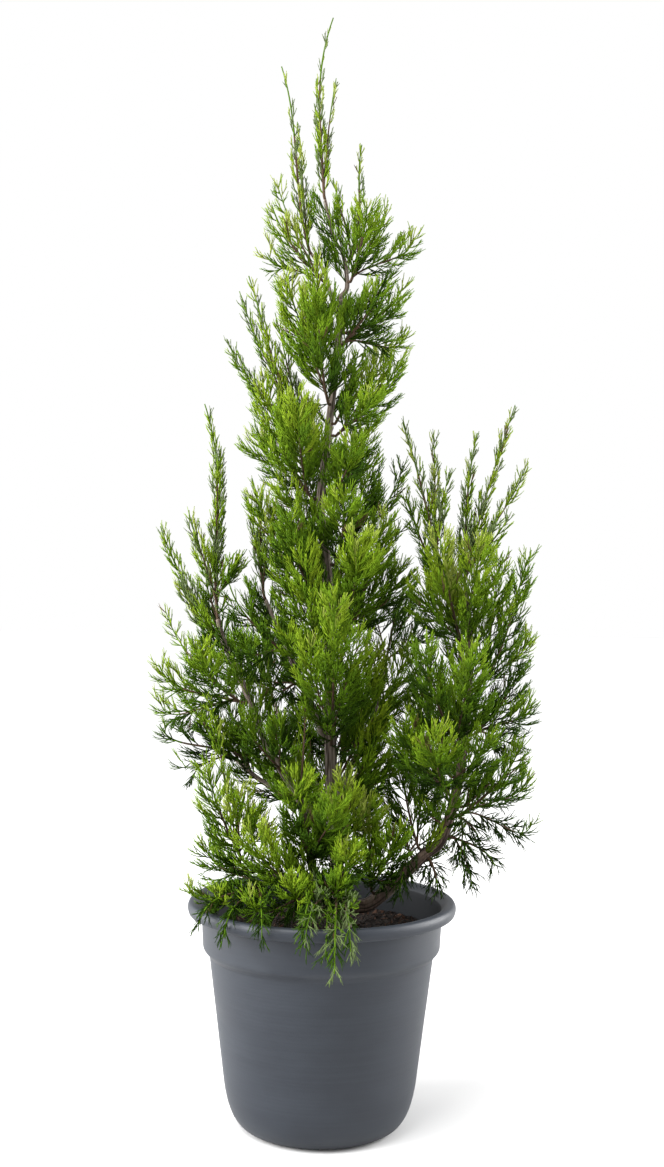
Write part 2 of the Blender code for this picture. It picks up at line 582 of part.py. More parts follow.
def build_pot(parts, cutters):
    """The pot, with the drain notches cut into the edge of its foot."""
    pot = turned("pot", pot_profile())
    for number in range(NOTCHES):
        turn = NOTCH_START + number * 2 * math.pi / NOTCHES
        shape = bmesh.new()
        bmesh.ops.create_cube(shape, size=1.0)
        mesh = bpy.data.meshes.new("drain_notch")
        shape.to_mesh(mesh)
        shape.free()
        cutter = bpy.data.objects.new(f"drain_notch_{number + 1}", mesh)
        cutter.scale = NOTCH_SIZE
        cutter.location = (FOOT_RADIUS * math.cos(turn), FOOT_RADIUS * math.sin(turn), 0.0)
        cutter.rotation_euler = (0.0, 0.0, turn)
        cutter.hide_render = True
        cutter.display_type = "WIRE"
        cutters.objects.link(cutter)
    cut = pot.modifiers.new("Notches", "BOOLEAN")
    cut.operation = "DIFFERENCE"
    cut.operand_type = "COLLECTION"
    cut.collection = cutters
    pot.data.materials.append(material("pot_plastic", (0.105, 0.115, 0.128), 0.5))
    parts.objects.link(pot)


def build_soil(parts):
    """The soil that fills the pot. It is level round the trunk and drops a little to the wall."""
    edge = SOIL_HEIGHT - SOIL_EDGE_DROP
    collar_foot = POT_HEIGHT - COLLAR_DEPTH
    rise = (edge - collar_foot - WALL) / (COLLAR_DEPTH - LIP_DEPTH - WALL)
    radius = COLLAR_FOOT_RADIUS + (COLLAR_RADIUS - COLLAR_FOOT_RADIUS) * rise - WALL - GAP
    wall = [point for point in pot_inside(GAP) if point[1] < edge] + [(radius, edge)]
    soil = turned("soil", [(0.0, SOIL_HEIGHT), (SOIL_FLAT_RADIUS, SOIL_HEIGHT)] + wall[::-1])
    soil.data.materials.append(material("soil_mix", (0.030, 0.020, 0.014), 0.95))
    parts.objects.link(soil)


def build_limbs(parts):
    """The trunk and the boughs, each one tapering round limb."""
    bark = material("bark", (0.135, 0.095, 0.070), 0.9)
    for name, (path, radii) in GROWN.items():
        limb = tube(name, path, radii, TRUNK_SIDES if LIMBS[name].carrier is None else BOUGH_SIDES)
        limb.data.materials.append(bark.copy())
        parts.objects.link(limb)


def build_mass(name, draws):
    """One mass: the plumes of its stem and of its other leads, joined into one solid."""
    return join(name, [Plume(name, number, draws).build() for number in range(len(LEADS[name]))])


def join(name, pieces):
    """A Boolean union of the pieces. Sealed hollows are filled and loose scraps dropped."""
    group = bpy.data.collections.new("pieces")
    bpy.context.scene.collection.children.link(group)
    whole = pieces[0]
    whole.name = name
    bpy.context.scene.collection.objects.link(whole)
    for piece in pieces[1:]:
        group.objects.link(piece)
    union = whole.modifiers.new("Join", "BOOLEAN")
    union.operation = "UNION"
    union.operand_type = "COLLECTION"
    union.collection = group
    union.solver = "MANIFOLD"
    bpy.context.view_layer.update()
    mesh = bpy.data.meshes.new_from_object(whole.evaluated_get(bpy.context.evaluated_depsgraph_get()))
    whole.modifiers.clear()
    for piece in list(group.objects):
        bpy.data.objects.remove(piece)
    bpy.data.collections.remove(group)
    shape = bmesh.new()
    shape.from_mesh(mesh)
    bmesh.ops.triangulate(shape, faces=shape.faces)
    keep_largest_body(shape)
    shape.to_mesh(mesh)
    shape.free()
    whole.data = mesh
    bpy.context.scene.collection.objects.unlink(whole)
    return whole


def keep_largest_body(shape):
    """Delete every body but the one with the most faces."""
    left = set(shape.faces)
    bodies = []
    while left:
        first = left.pop()
        body, front = {first}, [first]
        while front:
            face = front.pop()
            near = {other for edge in face.edges for other in edge.link_faces} & left
            left -= near
            body |= near
            front.extend(near)
        bodies.append(body)
    bodies.sort(key=len)
    for body in bodies[:-1]:
        bmesh.ops.delete(shape, geom=list(body), context="FACES")


def build_foliage(parts):
    """Every mass of foliage, from one seeded set of draws."""
    draws = np.random.default_rng(SEED)
    for name in MASSES:
        made = build_mass(name, draws)
        made.data.materials.append(material(f"{name}_green", (0.115, 0.215, 0.025), 0.7))
        parts.objects.link(made)


for existing in list(bpy.data.objects):
    bpy.data.objects.remove(existing)

GROWN = grow_limbs()
LEADS = grow_leads()
SPACE = Space()

PARTS = bpy.data.collections.new("potted_juniper")
CUTTERS = bpy.data.collections.new("pot_cutters")
for collection in (PARTS, CUTTERS):
    bpy.context.scene.collection.children.link(collection)

build_pot(PARTS, CUTTERS)
build_soil(PARTS)
build_limbs(PARTS)
build_foliage(PARTS)
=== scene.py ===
"""Looks of the potted juniper: the grey nursery pot, its soil, the barked trunk and boughs, and the
foliage, which grows on from the limbs by the part's own rule, carried to finer twigs."""

import math
from collections import namedtuple

import bpy
import numpy as np
from mathutils import Matrix, Vector


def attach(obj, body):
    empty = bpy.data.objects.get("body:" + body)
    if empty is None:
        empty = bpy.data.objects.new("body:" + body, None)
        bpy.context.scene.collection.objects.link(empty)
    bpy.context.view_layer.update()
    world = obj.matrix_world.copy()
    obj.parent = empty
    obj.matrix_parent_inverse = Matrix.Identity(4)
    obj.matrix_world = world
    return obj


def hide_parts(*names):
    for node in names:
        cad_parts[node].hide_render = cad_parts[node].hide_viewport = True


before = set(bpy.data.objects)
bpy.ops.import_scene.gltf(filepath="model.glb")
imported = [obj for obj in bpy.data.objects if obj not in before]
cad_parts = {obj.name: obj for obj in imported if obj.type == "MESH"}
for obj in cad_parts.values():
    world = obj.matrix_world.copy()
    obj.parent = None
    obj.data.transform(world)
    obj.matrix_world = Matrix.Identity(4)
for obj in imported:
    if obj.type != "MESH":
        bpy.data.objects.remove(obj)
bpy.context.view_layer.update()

# Pot
# A round nursery pot in grey recycled plastic, moulded in one piece: a rolled lip, a collar, a step
# and a tapering body that carries the mould's fine turning rings, with drain notches in its foot.

POT_HEIGHT = 0.249
LIP_RADIUS = 0.150
LIP_INNER_RADIUS = 0.139
LIP_DEPTH = 0.0145
COLLAR_RADIUS = 0.134
COLLAR_FOOT_RADIUS = 0.132
COLLAR_FOOT = 0.197
STEP_FOOT = 0.189
BODY_TOP_RADIUS = 0.1248
BODY_FOOT_RADIUS = 0.1057
BODY_FOOT = 0.037
FOOT_RADIUS = 0.0826
WALL = 0.0022
FLOOR = 0.006
NOTCHES = 8
NOTCH_START = math.radians(6.5)
NOTCH_REACH = 0.012
NOTCH_HALF_WIDTH = 0.007
NOTCH_DEPTH = 0.003
POT_SIDES = 176
MOST_CUT = 0.48
RING_PITCH = 0.0042
RING_RELIEF = 0.00005
RING_FADE_IN = 0.01
RING_FADE_OUT = 0.004
DUST_UNDER_STEP = 0.010
DUST_OVER_STEP = 0.006
DUST_ON_FOOT = 0.030
INNER_REACH = 0.1206
INNER_LEAN = 0.05
INNER_EDGE = 0.001
POT_DARK = (0.012, 0.015, 0.021, 1.0)
POT_LIGHT = (0.017, 0.021, 0.028, 1.0)
POT_DUST = (0.036, 0.039, 0.043, 1.0)
# Painted shade: the near-black colour of the inner wall above the soil.
POT_PAINTED_SHADE = (0.003, 0.004, 0.005, 1.0)


class Wire:
    """One socket of a material's nodes. Python's arithmetic on it adds Math nodes, and node()
    adds a node of any other kind."""

    def __init__(self, tree, socket=None):
        self.tree, self.socket = tree, socket

    def node(self, kind, settings=(), inputs=(), output=0):
        """A new node: its settings go in first, then its sockets' values or links."""
        made = self.tree.nodes.new(f"ShaderNode{kind}")
        for name, value in dict(settings).items():
            setattr(made, name, value)
        for name, value in dict(inputs).items():
            if isinstance(value, Wire):
                self.tree.links.new(value.socket, made.inputs[name])
            else:
                made.inputs[name].default_value = value
        return Wire(self.tree, made.outputs[output])

    def math(self, operation, first, second):
        """A Math node on two numbers or wires."""
        return self.node("Math", {"operation": operation}, {0: first, 1: second})

    def __add__(self, other):
        return self.math("ADD", self, other)

    def __radd__(self, other):
        return self.math("ADD", other, self)

    def __sub__(self, other):
        return self.math("SUBTRACT", self, other)

    def __rsub__(self, other):
        return self.math("SUBTRACT", other, self)

    def __mul__(self, other):
        return self.math("MULTIPLY", self, other)

    def __rmul__(self, other):
        return self.math("MULTIPLY", other, self)

    def between(self, low, high):
        """0 below low and 1 above high, with a smooth step between."""
        settings = {"interpolation_type": "SMOOTHSTEP"}
        return self.node("MapRange", settings, {"Value": self, "From Min": low, "From Max": high})

    def blend(self, low, high):
        """The colour that runs from low to high as this number runs from 0 to 1."""
        return self.node("Mix", {"data_type": "RGBA"}, {0: self, 6: low, 7: high}, output=2)

    def noise(self, scale, detail=3.0, stretch=(1.0, 1.0, 1.0)):
        """A noise pattern on this vector, about 0.5, at so many cells a metre."""
        place = self.node("VectorMath", {"operation": "MULTIPLY"}, {0: self, 1: stretch})
        return place.node("TexNoise", {}, {"Vector": place, "Scale": scale, "Detail": detail})


def finish(name, roughness, build=None, colour=(0.5, 0.5, 0.5, 1.0), gloss=0.5):
    """A Principled material. build gets the Object coordinates and gives its sockets' links."""
    material = bpy.data.materials.new(name)
    material.use_nodes = True
    tree = material.node_tree
    shader = tree.nodes["Principled BSDF"]
    shader.inputs["Base Color"].default_value = colour
    shader.inputs["Roughness"].default_value = roughness
    shader.inputs["Specular IOR Level"].default_value = gloss
    if build:
        place = Wire(tree).node("TexCoord", output=3)
        for socket, wire in build(place).items():
            tree.links.new(wire.socket, shader.inputs[socket])
    material.diffuse_color = colour
    return material


def bump(height, distance, strength=1.0):
    """A Bump node's normal from a height pattern."""
    return height.node("Bump", {}, {"Height": height, "Distance": distance, "Strength": strength})


def mesh_piece(name, points, faces, material, smooth=True):
    """An object at the origin from arrays of corners and of faces that all have as many corners."""
    points, faces = np.asarray(points, np.float32), np.asarray(faces, np.int32)
    mesh = bpy.data.meshes.new(name)
    mesh.vertices.add(len(points))
    mesh.vertices.foreach_set("co", points.ravel())
    mesh.loops.add(faces.size)
    mesh.loops.foreach_set("vertex_index", faces.ravel())
    mesh.polygons.add(len(faces))
    mesh.polygons.foreach_set("loop_start", np.arange(len(faces), dtype=np.int32) * faces.shape[1])
    mesh.polygons.foreach_set("use_smooth", np.full(len(faces), smooth))
    mesh.update(calc_edges=True)
    mesh.materials.append(material)
    piece = bpy.data.objects.new(name, mesh)
    bpy.context.scene.collection.objects.link(piece)
    return piece


def tube_faces(rows, sides):
    """Triangles of a tube whose corners run round its rows in turn, with each end closed to a pole:
    the start's pole is the corner after the last row, and the end's comes next."""
    row, side = np.meshgrid(np.arange(rows - 1), np.arange(sides), indexing="ij")
    a, b = row * sides + side, row * sides + (side + 1) % sides
    c, d = b + sides, a + sides
    ring, ahead = np.arange(sides), (np.arange(sides) + 1) % sides
    last, pole = (rows - 1) * sides, np.full(sides, rows * sides)
    return np.concatenate([np.stack([a, b, c], -1).reshape(-1, 3), np.stack([a, c, d], -1).reshape(-1, 3),
                           np.stack([ahead, ring, pole], -1),
                           np.stack([last + ring, last + ahead, pole + 1], -1)])


def filleted(rows, steps=6):
    """A run of corners in which each inner one becomes a curve. It starts and ends the cut's length
    from the corner: (1-t)^2 of the start, 2t(1-t) of the corner and t^2 of the end."""
    corners, cuts = np.array(rows)[:, :2], np.array(rows)[1:, 2]
    t = np.linspace(0.0, 1.0, steps)[:, None]
    run = [corners[:1]]
    for before, corner, after, cut in zip(corners, corners[1:], corners[2:], cuts):
        start = corner + (before - corner) * min(MOST_CUT, cut / np.linalg.norm(before - corner))
        end = corner + (after - corner) * min(MOST_CUT, cut / np.linalg.norm(after - corner))
        run.append((1 - t) ** 2 * start + 2 * t * (1 - t) * corner + t ** 2 * end)
    return np.vstack(run + [corners[-1:]])


def refined(profile, step):
    """The same outline with a point at least every step along it."""
    run = [profile[:1]]
    for start, end in zip(profile, profile[1:]):
        count = max(1, math.ceil(np.linalg.norm(end - start) / step))
        run.append(start + (end - start) * (np.arange(1, count + 1) / count)[:, None])
    return np.vstack(run)


def pot_outline():
    """The outline from the middle of the underside up the outside, over the lip and down the inside
    to the middle of the floor. A row is a corner's radius, its height and its rounding's cut, and
    the second and third corners round the foot."""
    lip_foot = POT_HEIGHT - LIP_DEPTH
    rows = [(0.0, 0.0, 0.0), (FOOT_RADIUS, 0.0, 0.0025), (0.0915, 0.005, 0.006), (0.099, 0.016, 0.01),
            (BODY_FOOT_RADIUS, BODY_FOOT, 0.016), (BODY_TOP_RADIUS, STEP_FOOT, 0.0018),
            (COLLAR_FOOT_RADIUS, COLLAR_FOOT, 0.003), (COLLAR_RADIUS, lip_foot, 0.0016),
            (LIP_RADIUS - 0.002, lip_foot + 0.0006, 0.003), (LIP_RADIUS, POT_HEIGHT - 0.006, 0.004),
            (LIP_RADIUS - 0.003, POT_HEIGHT, 0.003), (LIP_INNER_RADIUS, POT_HEIGHT - 0.0004, 0.003),
            (COLLAR_RADIUS - WALL, POT_HEIGHT - 0.009, 0.004),
            (COLLAR_FOOT_RADIUS - WALL, COLLAR_FOOT + WALL, 0.003),
            (BODY_TOP_RADIUS - WALL, STEP_FOOT, 0.003), (BODY_FOOT_RADIUS - WALL, BODY_FOOT, 0.01),
            (0.086, FLOOR, 0.01), (0.0, FLOOR, 0.0)]
    return refined(filleted(rows), RING_PITCH / 3)[1:-1]


def pot_surface():
    """The pot turned from its outline. At an angle and an outline point it stands at that point's
    radius and height. The body's radius swings by the turning rings, radius + relief *
    sin(2 pi height / pitch), and the underside is raised by the notch depth inside each notch."""
    outline = pot_outline()
    radius, height = outline[:, :1], outline[:, 1:]
    body = (np.clip((height - BODY_FOOT) / RING_FADE_IN, 0, 1)
            * np.clip((STEP_FOOT - height) / RING_FADE_OUT, 0, 1))
    outer = (np.arange(len(outline)) < len(outline) / 2)[:, None]
    radius = radius + outer * body * RING_RELIEF * np.sin(2 * math.pi * height / RING_PITCH)
    angle = np.linspace(0.0, 2 * math.pi, POT_SIDES, endpoint=False)[None]
    turn = (angle - NOTCH_START + math.pi / NOTCHES) % (2 * math.pi / NOTCHES) - math.pi / NOTCHES
    in_notch = (np.abs(turn) * radius < NOTCH_HALF_WIDTH) & (np.abs(radius - FOOT_RADIUS) < NOTCH_REACH)
    height = np.where(in_notch & (height < NOTCH_DEPTH), NOTCH_DEPTH, height + 0 * angle)
    points = np.stack([radius * np.cos(angle), radius * np.sin(angle), height], -1).reshape(-1, 3)
    poles = [(0.0, 0.0, 0.0), (0.0, 0.0, FLOOR)]
    return np.vstack([points, poles]), tube_faces(len(outline), POT_SIDES)


def pot_finish(place):
    """Grey plastic with cloudy streaks round it, paler where dust lies by the step and the foot, and
    painted shade darkens the inner wall above the soil, which is what lies within the inner reach."""
    height = place.node("SeparateXYZ", {}, {0: place}, output=2)
    clouds = place.noise(14.0, 4.0, (1.0, 1.0, 2.5))
    rings = place.noise(30.0, 2.0, (0.15, 0.15, 12.0))
    grain = place.noise(900.0, 2.0)
    by_step = (height.between(COLLAR_FOOT - DUST_UNDER_STEP, COLLAR_FOOT)
               - height.between(COLLAR_FOOT, COLLAR_FOOT + DUST_OVER_STEP))
    by_foot = 1 - height.between(0.0, DUST_ON_FOOT)
    dust = (by_step * 0.25 + by_foot * 0.3) * clouds.between(0.40, 0.65)
    plastic = (clouds * 0.75 + rings * 0.25).between(0.30, 0.72).blend(POT_DARK, POT_LIGHT)
    level = place.node("VectorMath", {"operation": "MULTIPLY"}, {0: place, 1: (1.0, 1.0, 0.0)})
    reach = level.node("VectorMath", {"operation": "LENGTH"}, {0: level}, output=1) - height * INNER_LEAN
    inside = ((1 - reach.between(INNER_REACH, INNER_REACH + INNER_EDGE))
              * height.between(COLLAR_FOOT, COLLAR_FOOT + 2 * INNER_EDGE))
    # Painted shade: the inner wall above the soil is blended towards a near-black colour.
    return {"Base Color": (inside * 0.8).blend(dust.blend(plastic, POT_DUST), POT_PAINTED_SHADE),
            "Roughness": 0.40 + clouds * 0.22 + inside * 0.3,
            "Normal": bump(grain * 0.5 + rings * 0.5, 0.00025, 0.5)}


pot = mesh_piece("pot_shell", *pot_surface(), finish("pot_plastic", 0.5, pot_finish, POT_LIGHT, 0.30))
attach(pot, "root")
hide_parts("pot")

# Soil
# Moist potting mix that fills the pot to 35 mm below its lip: a nearly black bed, loose crumbs on
# it, and reddish-brown chips of composted bark.

GOLDEN_ANGLE = math.pi * (3 - math.sqrt(5))
SOIL_HEIGHT = 0.2135
SOIL_RADIUS = 0.1306
SOIL_ROWS = 110
SOIL_SIDES = 300
SOIL_ROUGHNESS = 0.00088
SOIL_WAVES = 24
SOIL_LUMPS = (1.0, 220.0, 5)
SOIL_GRIT = (0.6, 700.0, 6)
SOIL_EDGE_START = 0.75
SOIL_EDGE_SINK = 0.003
SKIRT_DEPTH = 0.020
SKIRT_SHARE = 0.98
CRUMBS = 5200
CHIPS = 900
CRUMB_SIZE = (0.0006, 0.0024)
CHIP_SIZE = (0.0018, 0.0055)
CRUMB_SHAPE = (1.0, 0.9, 0.8)
CHIP_SHAPE = (1.0, 0.45, 0.22)
CRUMB_SEED = 11
CHIP_SEED = 12
GRAIN_FIELD = 0.975
GRAIN_DRIFT = 0.4
GRAIN_SMALLNESS = 2.2
GRAIN_DENTS = (0.6, 1.4)
GRAIN_PROUD = 0.4
GRAIN_TURN = (1, 1, 0.35)
GRAIN_LEVEL = (0, 0, 2)
SOIL_COLOURS = [(0.007, 0.005, 0.004, 1.0), (0.020, 0.013, 0.009, 1.0)]
CRUMB_COLOUR = (0.013, 0.009, 0.007, 1.0)
CHIP_COLOUR = (0.048, 0.022, 0.012, 1.0)


def ripples(points, waves, scale, seed):
    """A rough pattern about 0 with waves of many directions: the sum of sin(direction . point +
    phase) over random directions and phases, divided by the root of their number."""
    draws = np.random.default_rng(seed)
    directions = draws.normal(size=(waves, 3)) * scale * draws.uniform(0.5, 1.8, (waves, 1))
    phases = draws.uniform(0, 2 * math.pi, waves)
    total = np.zeros(points.shape[:-1])
    for direction, phase in zip(directions, phases):
        total += np.sin(points @ direction + phase)
    return total / math.sqrt(waves)


def soil_height(x, y):
    """The bed's height: level, rough at two sizes, and 3 mm lower at the wall."""
    flat = np.stack([x, y, 0 * x], -1)
    rough = sum(weight * ripples(flat, SOIL_WAVES, scale, seed)
                for weight, scale, seed in (SOIL_LUMPS, SOIL_GRIT))
    share = np.hypot(x, y) / SOIL_RADIUS
    edge = np.clip((share - SOIL_EDGE_START) / (1 - SOIL_EDGE_START), 0, 1) ** 2
    return SOIL_HEIGHT + SOIL_ROUGHNESS * rough - SOIL_EDGE_SINK * edge


def soil_surface():
    """A disc of rings and spokes at the bed's height, closed by a skirt and a flat underside."""
    share = np.linspace(0.0, 1.0, SOIL_ROWS + 1)[1:, None]
    angle = np.linspace(0.0, 2 * math.pi, SOIL_SIDES, endpoint=False)[None]
    x, y = SOIL_RADIUS * share * np.cos(angle), SOIL_RADIUS * share * np.sin(angle)
    top = np.stack([x, y, soil_height(x, y)], -1)[::-1]
    under = SOIL_HEIGHT - SKIRT_DEPTH
    skirt = np.stack([SKIRT_SHARE * x[-1], SKIRT_SHARE * y[-1], 0 * x[-1] + under], -1)[None]
    poles = [(0.0, 0.0, under), (0.0, 0.0, soil_height(np.zeros(1), np.zeros(1))[0])]
    points = np.vstack([skirt, top]).reshape(-1, 3)
    return np.vstack([points, poles]), tube_faces(SOIL_ROWS + 1, SOIL_SIDES)


def grains(count, sizes, flatness, seed):
    """Crumbs: each is an octahedron, its corners pushed in or out at random, flattened, and turned
    at random but nearly level. Crumb n lies at a radius of the bed's times root(n / count) and an
    angle of n golden angles."""
    draws = np.random.default_rng(seed)
    number = np.arange(count) + 0.5
    radius = SOIL_RADIUS * GRAIN_FIELD * np.sqrt(number / count)
    angle = number * GOLDEN_ANGLE + draws.normal(0, GRAIN_DRIFT, count)
    centre = np.stack([radius * np.cos(angle), radius * np.sin(angle)], -1)
    size = sizes[0] + (sizes[1] - sizes[0]) * draws.random(count) ** GRAIN_SMALLNESS
    corners = np.array([(1, 0, 0), (0, 1, 0), (-1, 0, 0), (0, -1, 0), (0, 0, 1), (0, 0, -1)], float)
    shape = corners * draws.uniform(*GRAIN_DENTS, (count, 6, 1)) * np.array(flatness)
    axes = np.linalg.qr(draws.normal(size=(count, 3, 3)) * GRAIN_TURN + np.eye(3) * GRAIN_LEVEL)[0]
    points = np.einsum("nij,nkj->nki", axes, shape) * size[:, None, None]
    height = soil_height(centre[:, 0], centre[:, 1]) + size * flatness[2] * GRAIN_PROUD
    points += np.concatenate([centre, height[:, None]], -1)[:, None]
    handed = np.linalg.det(axes) > 0
    faces = np.array([(0, 1, 4), (1, 2, 4), (2, 3, 4), (3, 0, 4),
                      (1, 0, 5), (2, 1, 5), (3, 2, 5), (0, 3, 5)])
    faces = np.where(handed[:, None, None], faces, faces[:, ::-1]) + 6 * np.arange(count)[:, None, None]
    return points.reshape(-1, 3), faces.reshape(-1, 3)


def soil_finish(place):
    """Nearly black, with brown in the lumps."""
    lumps = place.noise(260.0, 5.0)
    return {"Base Color": lumps.between(0.35, 0.70).blend(*SOIL_COLOURS),
            "Normal": bump(place.noise(900.0, 4.0), 0.0008)}


soil = mesh_piece("soil_bed", *soil_surface(),
                  finish("soil_bed", 0.95, soil_finish, SOIL_COLOURS[1], 0.25))
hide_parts("soil")
crumbs = mesh_piece("soil_crumbs", *grains(CRUMBS, CRUMB_SIZE, CRUMB_SHAPE, CRUMB_SEED),
                    finish("soil_crumb", 0.9, None, CRUMB_COLOUR, 0.25), False)
chips = mesh_piece("bark_chips", *grains(CHIPS, CHIP_SIZE, CHIP_SHAPE, CHIP_SEED),
                   finish("bark_chip", 0.85, None, CHIP_COLOUR, 0.25), False)
for piece in (soil, crumbs, chips):
    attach(piece, "root")

# Trunk, stems and boughs
# Living wood under thin bark that peels in narrow strips along the grain: pinkish grey on the trunk
# and the left boughs, dark reddish brown on the stems at the right and the front.

GAP = 0.0003
TAPER = 0.8
FLARE = 0.0058
FLARE_HEIGHT = 0.016
CURVE_STEPS = 12
ROW_STEP = 0.0022
LIMB_SIDES = {"trunk": 44, "right_stem": 40}
THIN_LIMB_SIDES = 28
ROUTE_ROWS = 30
LEAST_ROWS = 24
STRIPS = (2, 3, 5, 7, 9, 11, 13)
STRIP_PHASES = (0, 6.28)
STRIP_RATES = (25, 90)
STRIP_SWINGS = (0.6, 1.6)
STRIP_POWER = 0.7
FLAKES = 0.6
FLAKE_WAVES = 20
FLAKE_SCALE = 2.6
FLAKE_STRETCH = 22
LUMPS = 0.6
LUMP_RATES = (70, 31)
LUMP_PHASES = (0, 6)
BARK_RELIEF = 0.051
BARK_SEED = 100
BARK_COLOURS = {
    "bark_grey": [(0.030, 0.021, 0.016, 1.0), (0.120, 0.092, 0.073, 1.0), (0.270, 0.225, 0.190, 1.0),
                  (0.165, 0.160, 0.120, 1.0), (0.170, 0.140, 0.115, 1.0)],
    "bark_brown": [(0.014, 0.009, 0.006, 1.0), (0.060, 0.040, 0.030, 1.0), (0.160, 0.115, 0.088, 1.0),
                   (0.110, 0.100, 0.075, 1.0), (0.085, 0.058, 0.044, 1.0)]}
BROWN_LIMBS = ("right_stem", "front_stem", "right_inner_bough")
TIP_DOME = 0.6
FOOT_SUNK = 0.004
UP = np.array([0.0, 0.0, 1.0])
ACROSS = (0.3, 1.0, 0.2)
TIP = None
Limb = namedtuple("Limb", "carrier height foot_radius tip_radius path")
LIMBS = {
    "trunk": Limb(None, 0.0, 0.0082, 0.0034, [
        (0.020, 0.016, 0.2138), (0.016, 0.014, 0.290), (0.009, 0.012, 0.378), (0.003, 0.005, 0.595),
        (-0.007, 0.0, 0.683), (-0.001, 0.0, 0.751), (0.012, 0.0, 0.882), (0.013, 0.0, 0.919)]),
    "left_leader": Limb("trunk", 0.908, 0.0026, 0.0018, [
        (-0.006, 0.001, 0.950), (-0.020, 0.004, 0.970)]),
    "right_leader": Limb("trunk", TIP, 0.0028, 0.0016, [
        (0.020, 0.0, 0.934), (0.015, 0.0, 0.969), (0.005, 0.0, 0.987), (-0.006, 0.0, 1.031)]),
    "right_stem": Limb("trunk", 0.236, 0.0082, 0.0036, [
        (0.061, 0.012, 0.246), (0.112, 0.002, 0.297), (0.134, 0.0, 0.320), (0.151, 0.0, 0.383),
        (0.159, 0.0, 0.455), (0.162, 0.0, 0.529), (0.156, 0.0, 0.594)]),
    "front_stem": Limb("trunk", 0.240, 0.0050, 0.0036, [
        (-0.002, -0.020, 0.258), (-0.013, -0.034, 0.300), (-0.022, -0.045, 0.353)]),
    "left_bough": Limb("trunk", 0.312, 0.0052, 0.0028, [
        (-0.026, 0.002, 0.359), (-0.064, -0.010, 0.423), (-0.082, -0.015, 0.471),
        (-0.110, -0.020, 0.532), (-0.118, -0.020, 0.560)]),
    "left_side_bough": Limb("trunk", 0.338, 0.0040, 0.0024, [
        (-0.020, 0.024, 0.350), (-0.070, 0.035, 0.374), (-0.100, 0.040, 0.398)]),
    "left_upper_bough": Limb("trunk", 0.430, 0.0034, 0.0022, [
        (-0.010, 0.004, 0.455), (-0.039, 0.0, 0.519), (-0.055, 0.0, 0.554), (-0.067, 0.0, 0.582)]),
    "left_low_bough": Limb("trunk", 0.262, 0.0040, 0.0026, [
        (-0.020, 0.002, 0.268), (-0.060, -0.010, 0.276), (-0.085, -0.024, 0.294)]),
    "right_inner_bough": Limb("right_stem", 0.505, 0.0028, 0.0020, [
        (0.148, -0.008, 0.548), (0.138, -0.010, 0.585), (0.126, -0.015, 0.623)]),
    "rear_right_bough": Limb("trunk", 0.365, 0.0042, 0.0024, [
        (0.030, 0.040, 0.390), (0.055, 0.075, 0.440), (0.070, 0.095, 0.500)]),
    "rear_left_bough": Limb("trunk", 0.350, 0.0042, 0.0024, [
        (-0.012, 0.045, 0.375), (-0.042, 0.080, 0.420), (-0.060, 0.095, 0.460)]),
}


def unit(vector):
    """Vectors at length 1, along the last axis."""
    vector = np.asarray(vector, float)
    return vector / np.linalg.norm(vector, axis=-1, keepdims=True)


def along(path, shares):
    """Points at the given shares of the path's length, on its straight stretches."""
    reached = np.concatenate([[0.0], np.cumsum(np.linalg.norm(np.diff(path, axis=0), axis=1))])
    wanted = np.asarray(shares, float) * reached[-1]
    return np.stack([np.interp(wanted, reached, path[:, axis]) for axis in range(3)], axis=-1)


def smooth_path(points, count):
    """A Catmull-Rom curve through the points, read off at evenly spaced places. Between b and c it
    is half of 2b + (c-a)t + (2a-5b+4c-d)t^2 + (3b-a-3c+d)t^3."""
    points = np.asarray(points, float)
    ends = np.vstack([2 * points[0] - points[1], points, 2 * points[-1] - points[-2]])
    t = np.linspace(0.0, 1.0, CURVE_STEPS, endpoint=False)[:, None]
    curve = [0.5 * (2 * b + (c - a) * t + (2 * a - 5 * b + 4 * c - d) * t ** 2
                    + (3 * b - a - 3 * c + d) * t ** 3)
             for a, b, c, d in zip(ends, ends[1:], ends[2:], ends[3:])]
    return along(np.vstack(curve + [points[-1:]]), np.linspace(0.0, 1.0, count))


def length_of(path):
    """The length along a path."""
    return np.linalg.norm(np.diff(path, axis=0), axis=1).sum()


def limb_radii(name, path):
    """A limb tapers evenly to its tip: foot + (tip - foot) * share^0.8. The trunk flares at the
    soil by flare * exp(-height / flare height)."""
    limb = LIMBS[name]
    share = np.linspace(0.0, 1.0, len(path))
    radii = limb.foot_radius + (limb.tip_radius - limb.foot_radius) * share ** TAPER
    if limb.carrier is None:
        radii = radii + FLARE * np.exp(-(path[:, 2] - path[0, 2]) / FLARE_HEIGHT)
    return radii


def leave(grown, carrier, height, toward, foot_radius):
    """Where a stem leaves its carrier, and which way: from the carrier's end, or straight out
    of its side towards a point."""
    path, radii = grown[carrier]
    if height is TIP:
        way = unit(path[-1] - path[-2])
        return path[-1] + way * GAP, way
    heights = path[:, 2]
    axis_point = np.array([np.interp(height, heights, path[:, axis]) for axis in range(3)])
    stretch = min(int(np.searchsorted(heights, height)), len(path) - 1)
    axis_way = unit(path[stretch] - path[stretch - 1])
    side = np.asarray(toward, float) - axis_point
    side = unit(side - axis_way * side.dot(axis_way))
    radius = np.interp(height - foot_radius, heights, radii)
    return axis_point + side * (radius + GAP), side


def grow_limbs():
    """Each limb's path and its radius along it, by name, as fine as the bark needs. A bough's foot
    is sunk a little into its carrier."""
    grown = {}
    for name, limb in LIMBS.items():
        points = [np.array(point) for point in limb.path]
        if limb.carrier is not None:
            foot, way = leave(grown, limb.carrier, limb.height, points[0], limb.foot_radius)
            sunk = 0.0 if limb.height is TIP else FOOT_SUNK
            points = [foot - way * sunk, foot + way * limb.foot_radius] + points
        path = smooth_path(points, ROUTE_ROWS)
        path = smooth_path(points, max(LEAST_ROWS, round(length_of(path) / ROW_STEP)))
        grown[name] = (path, limb_radii(name, path))
    return grown


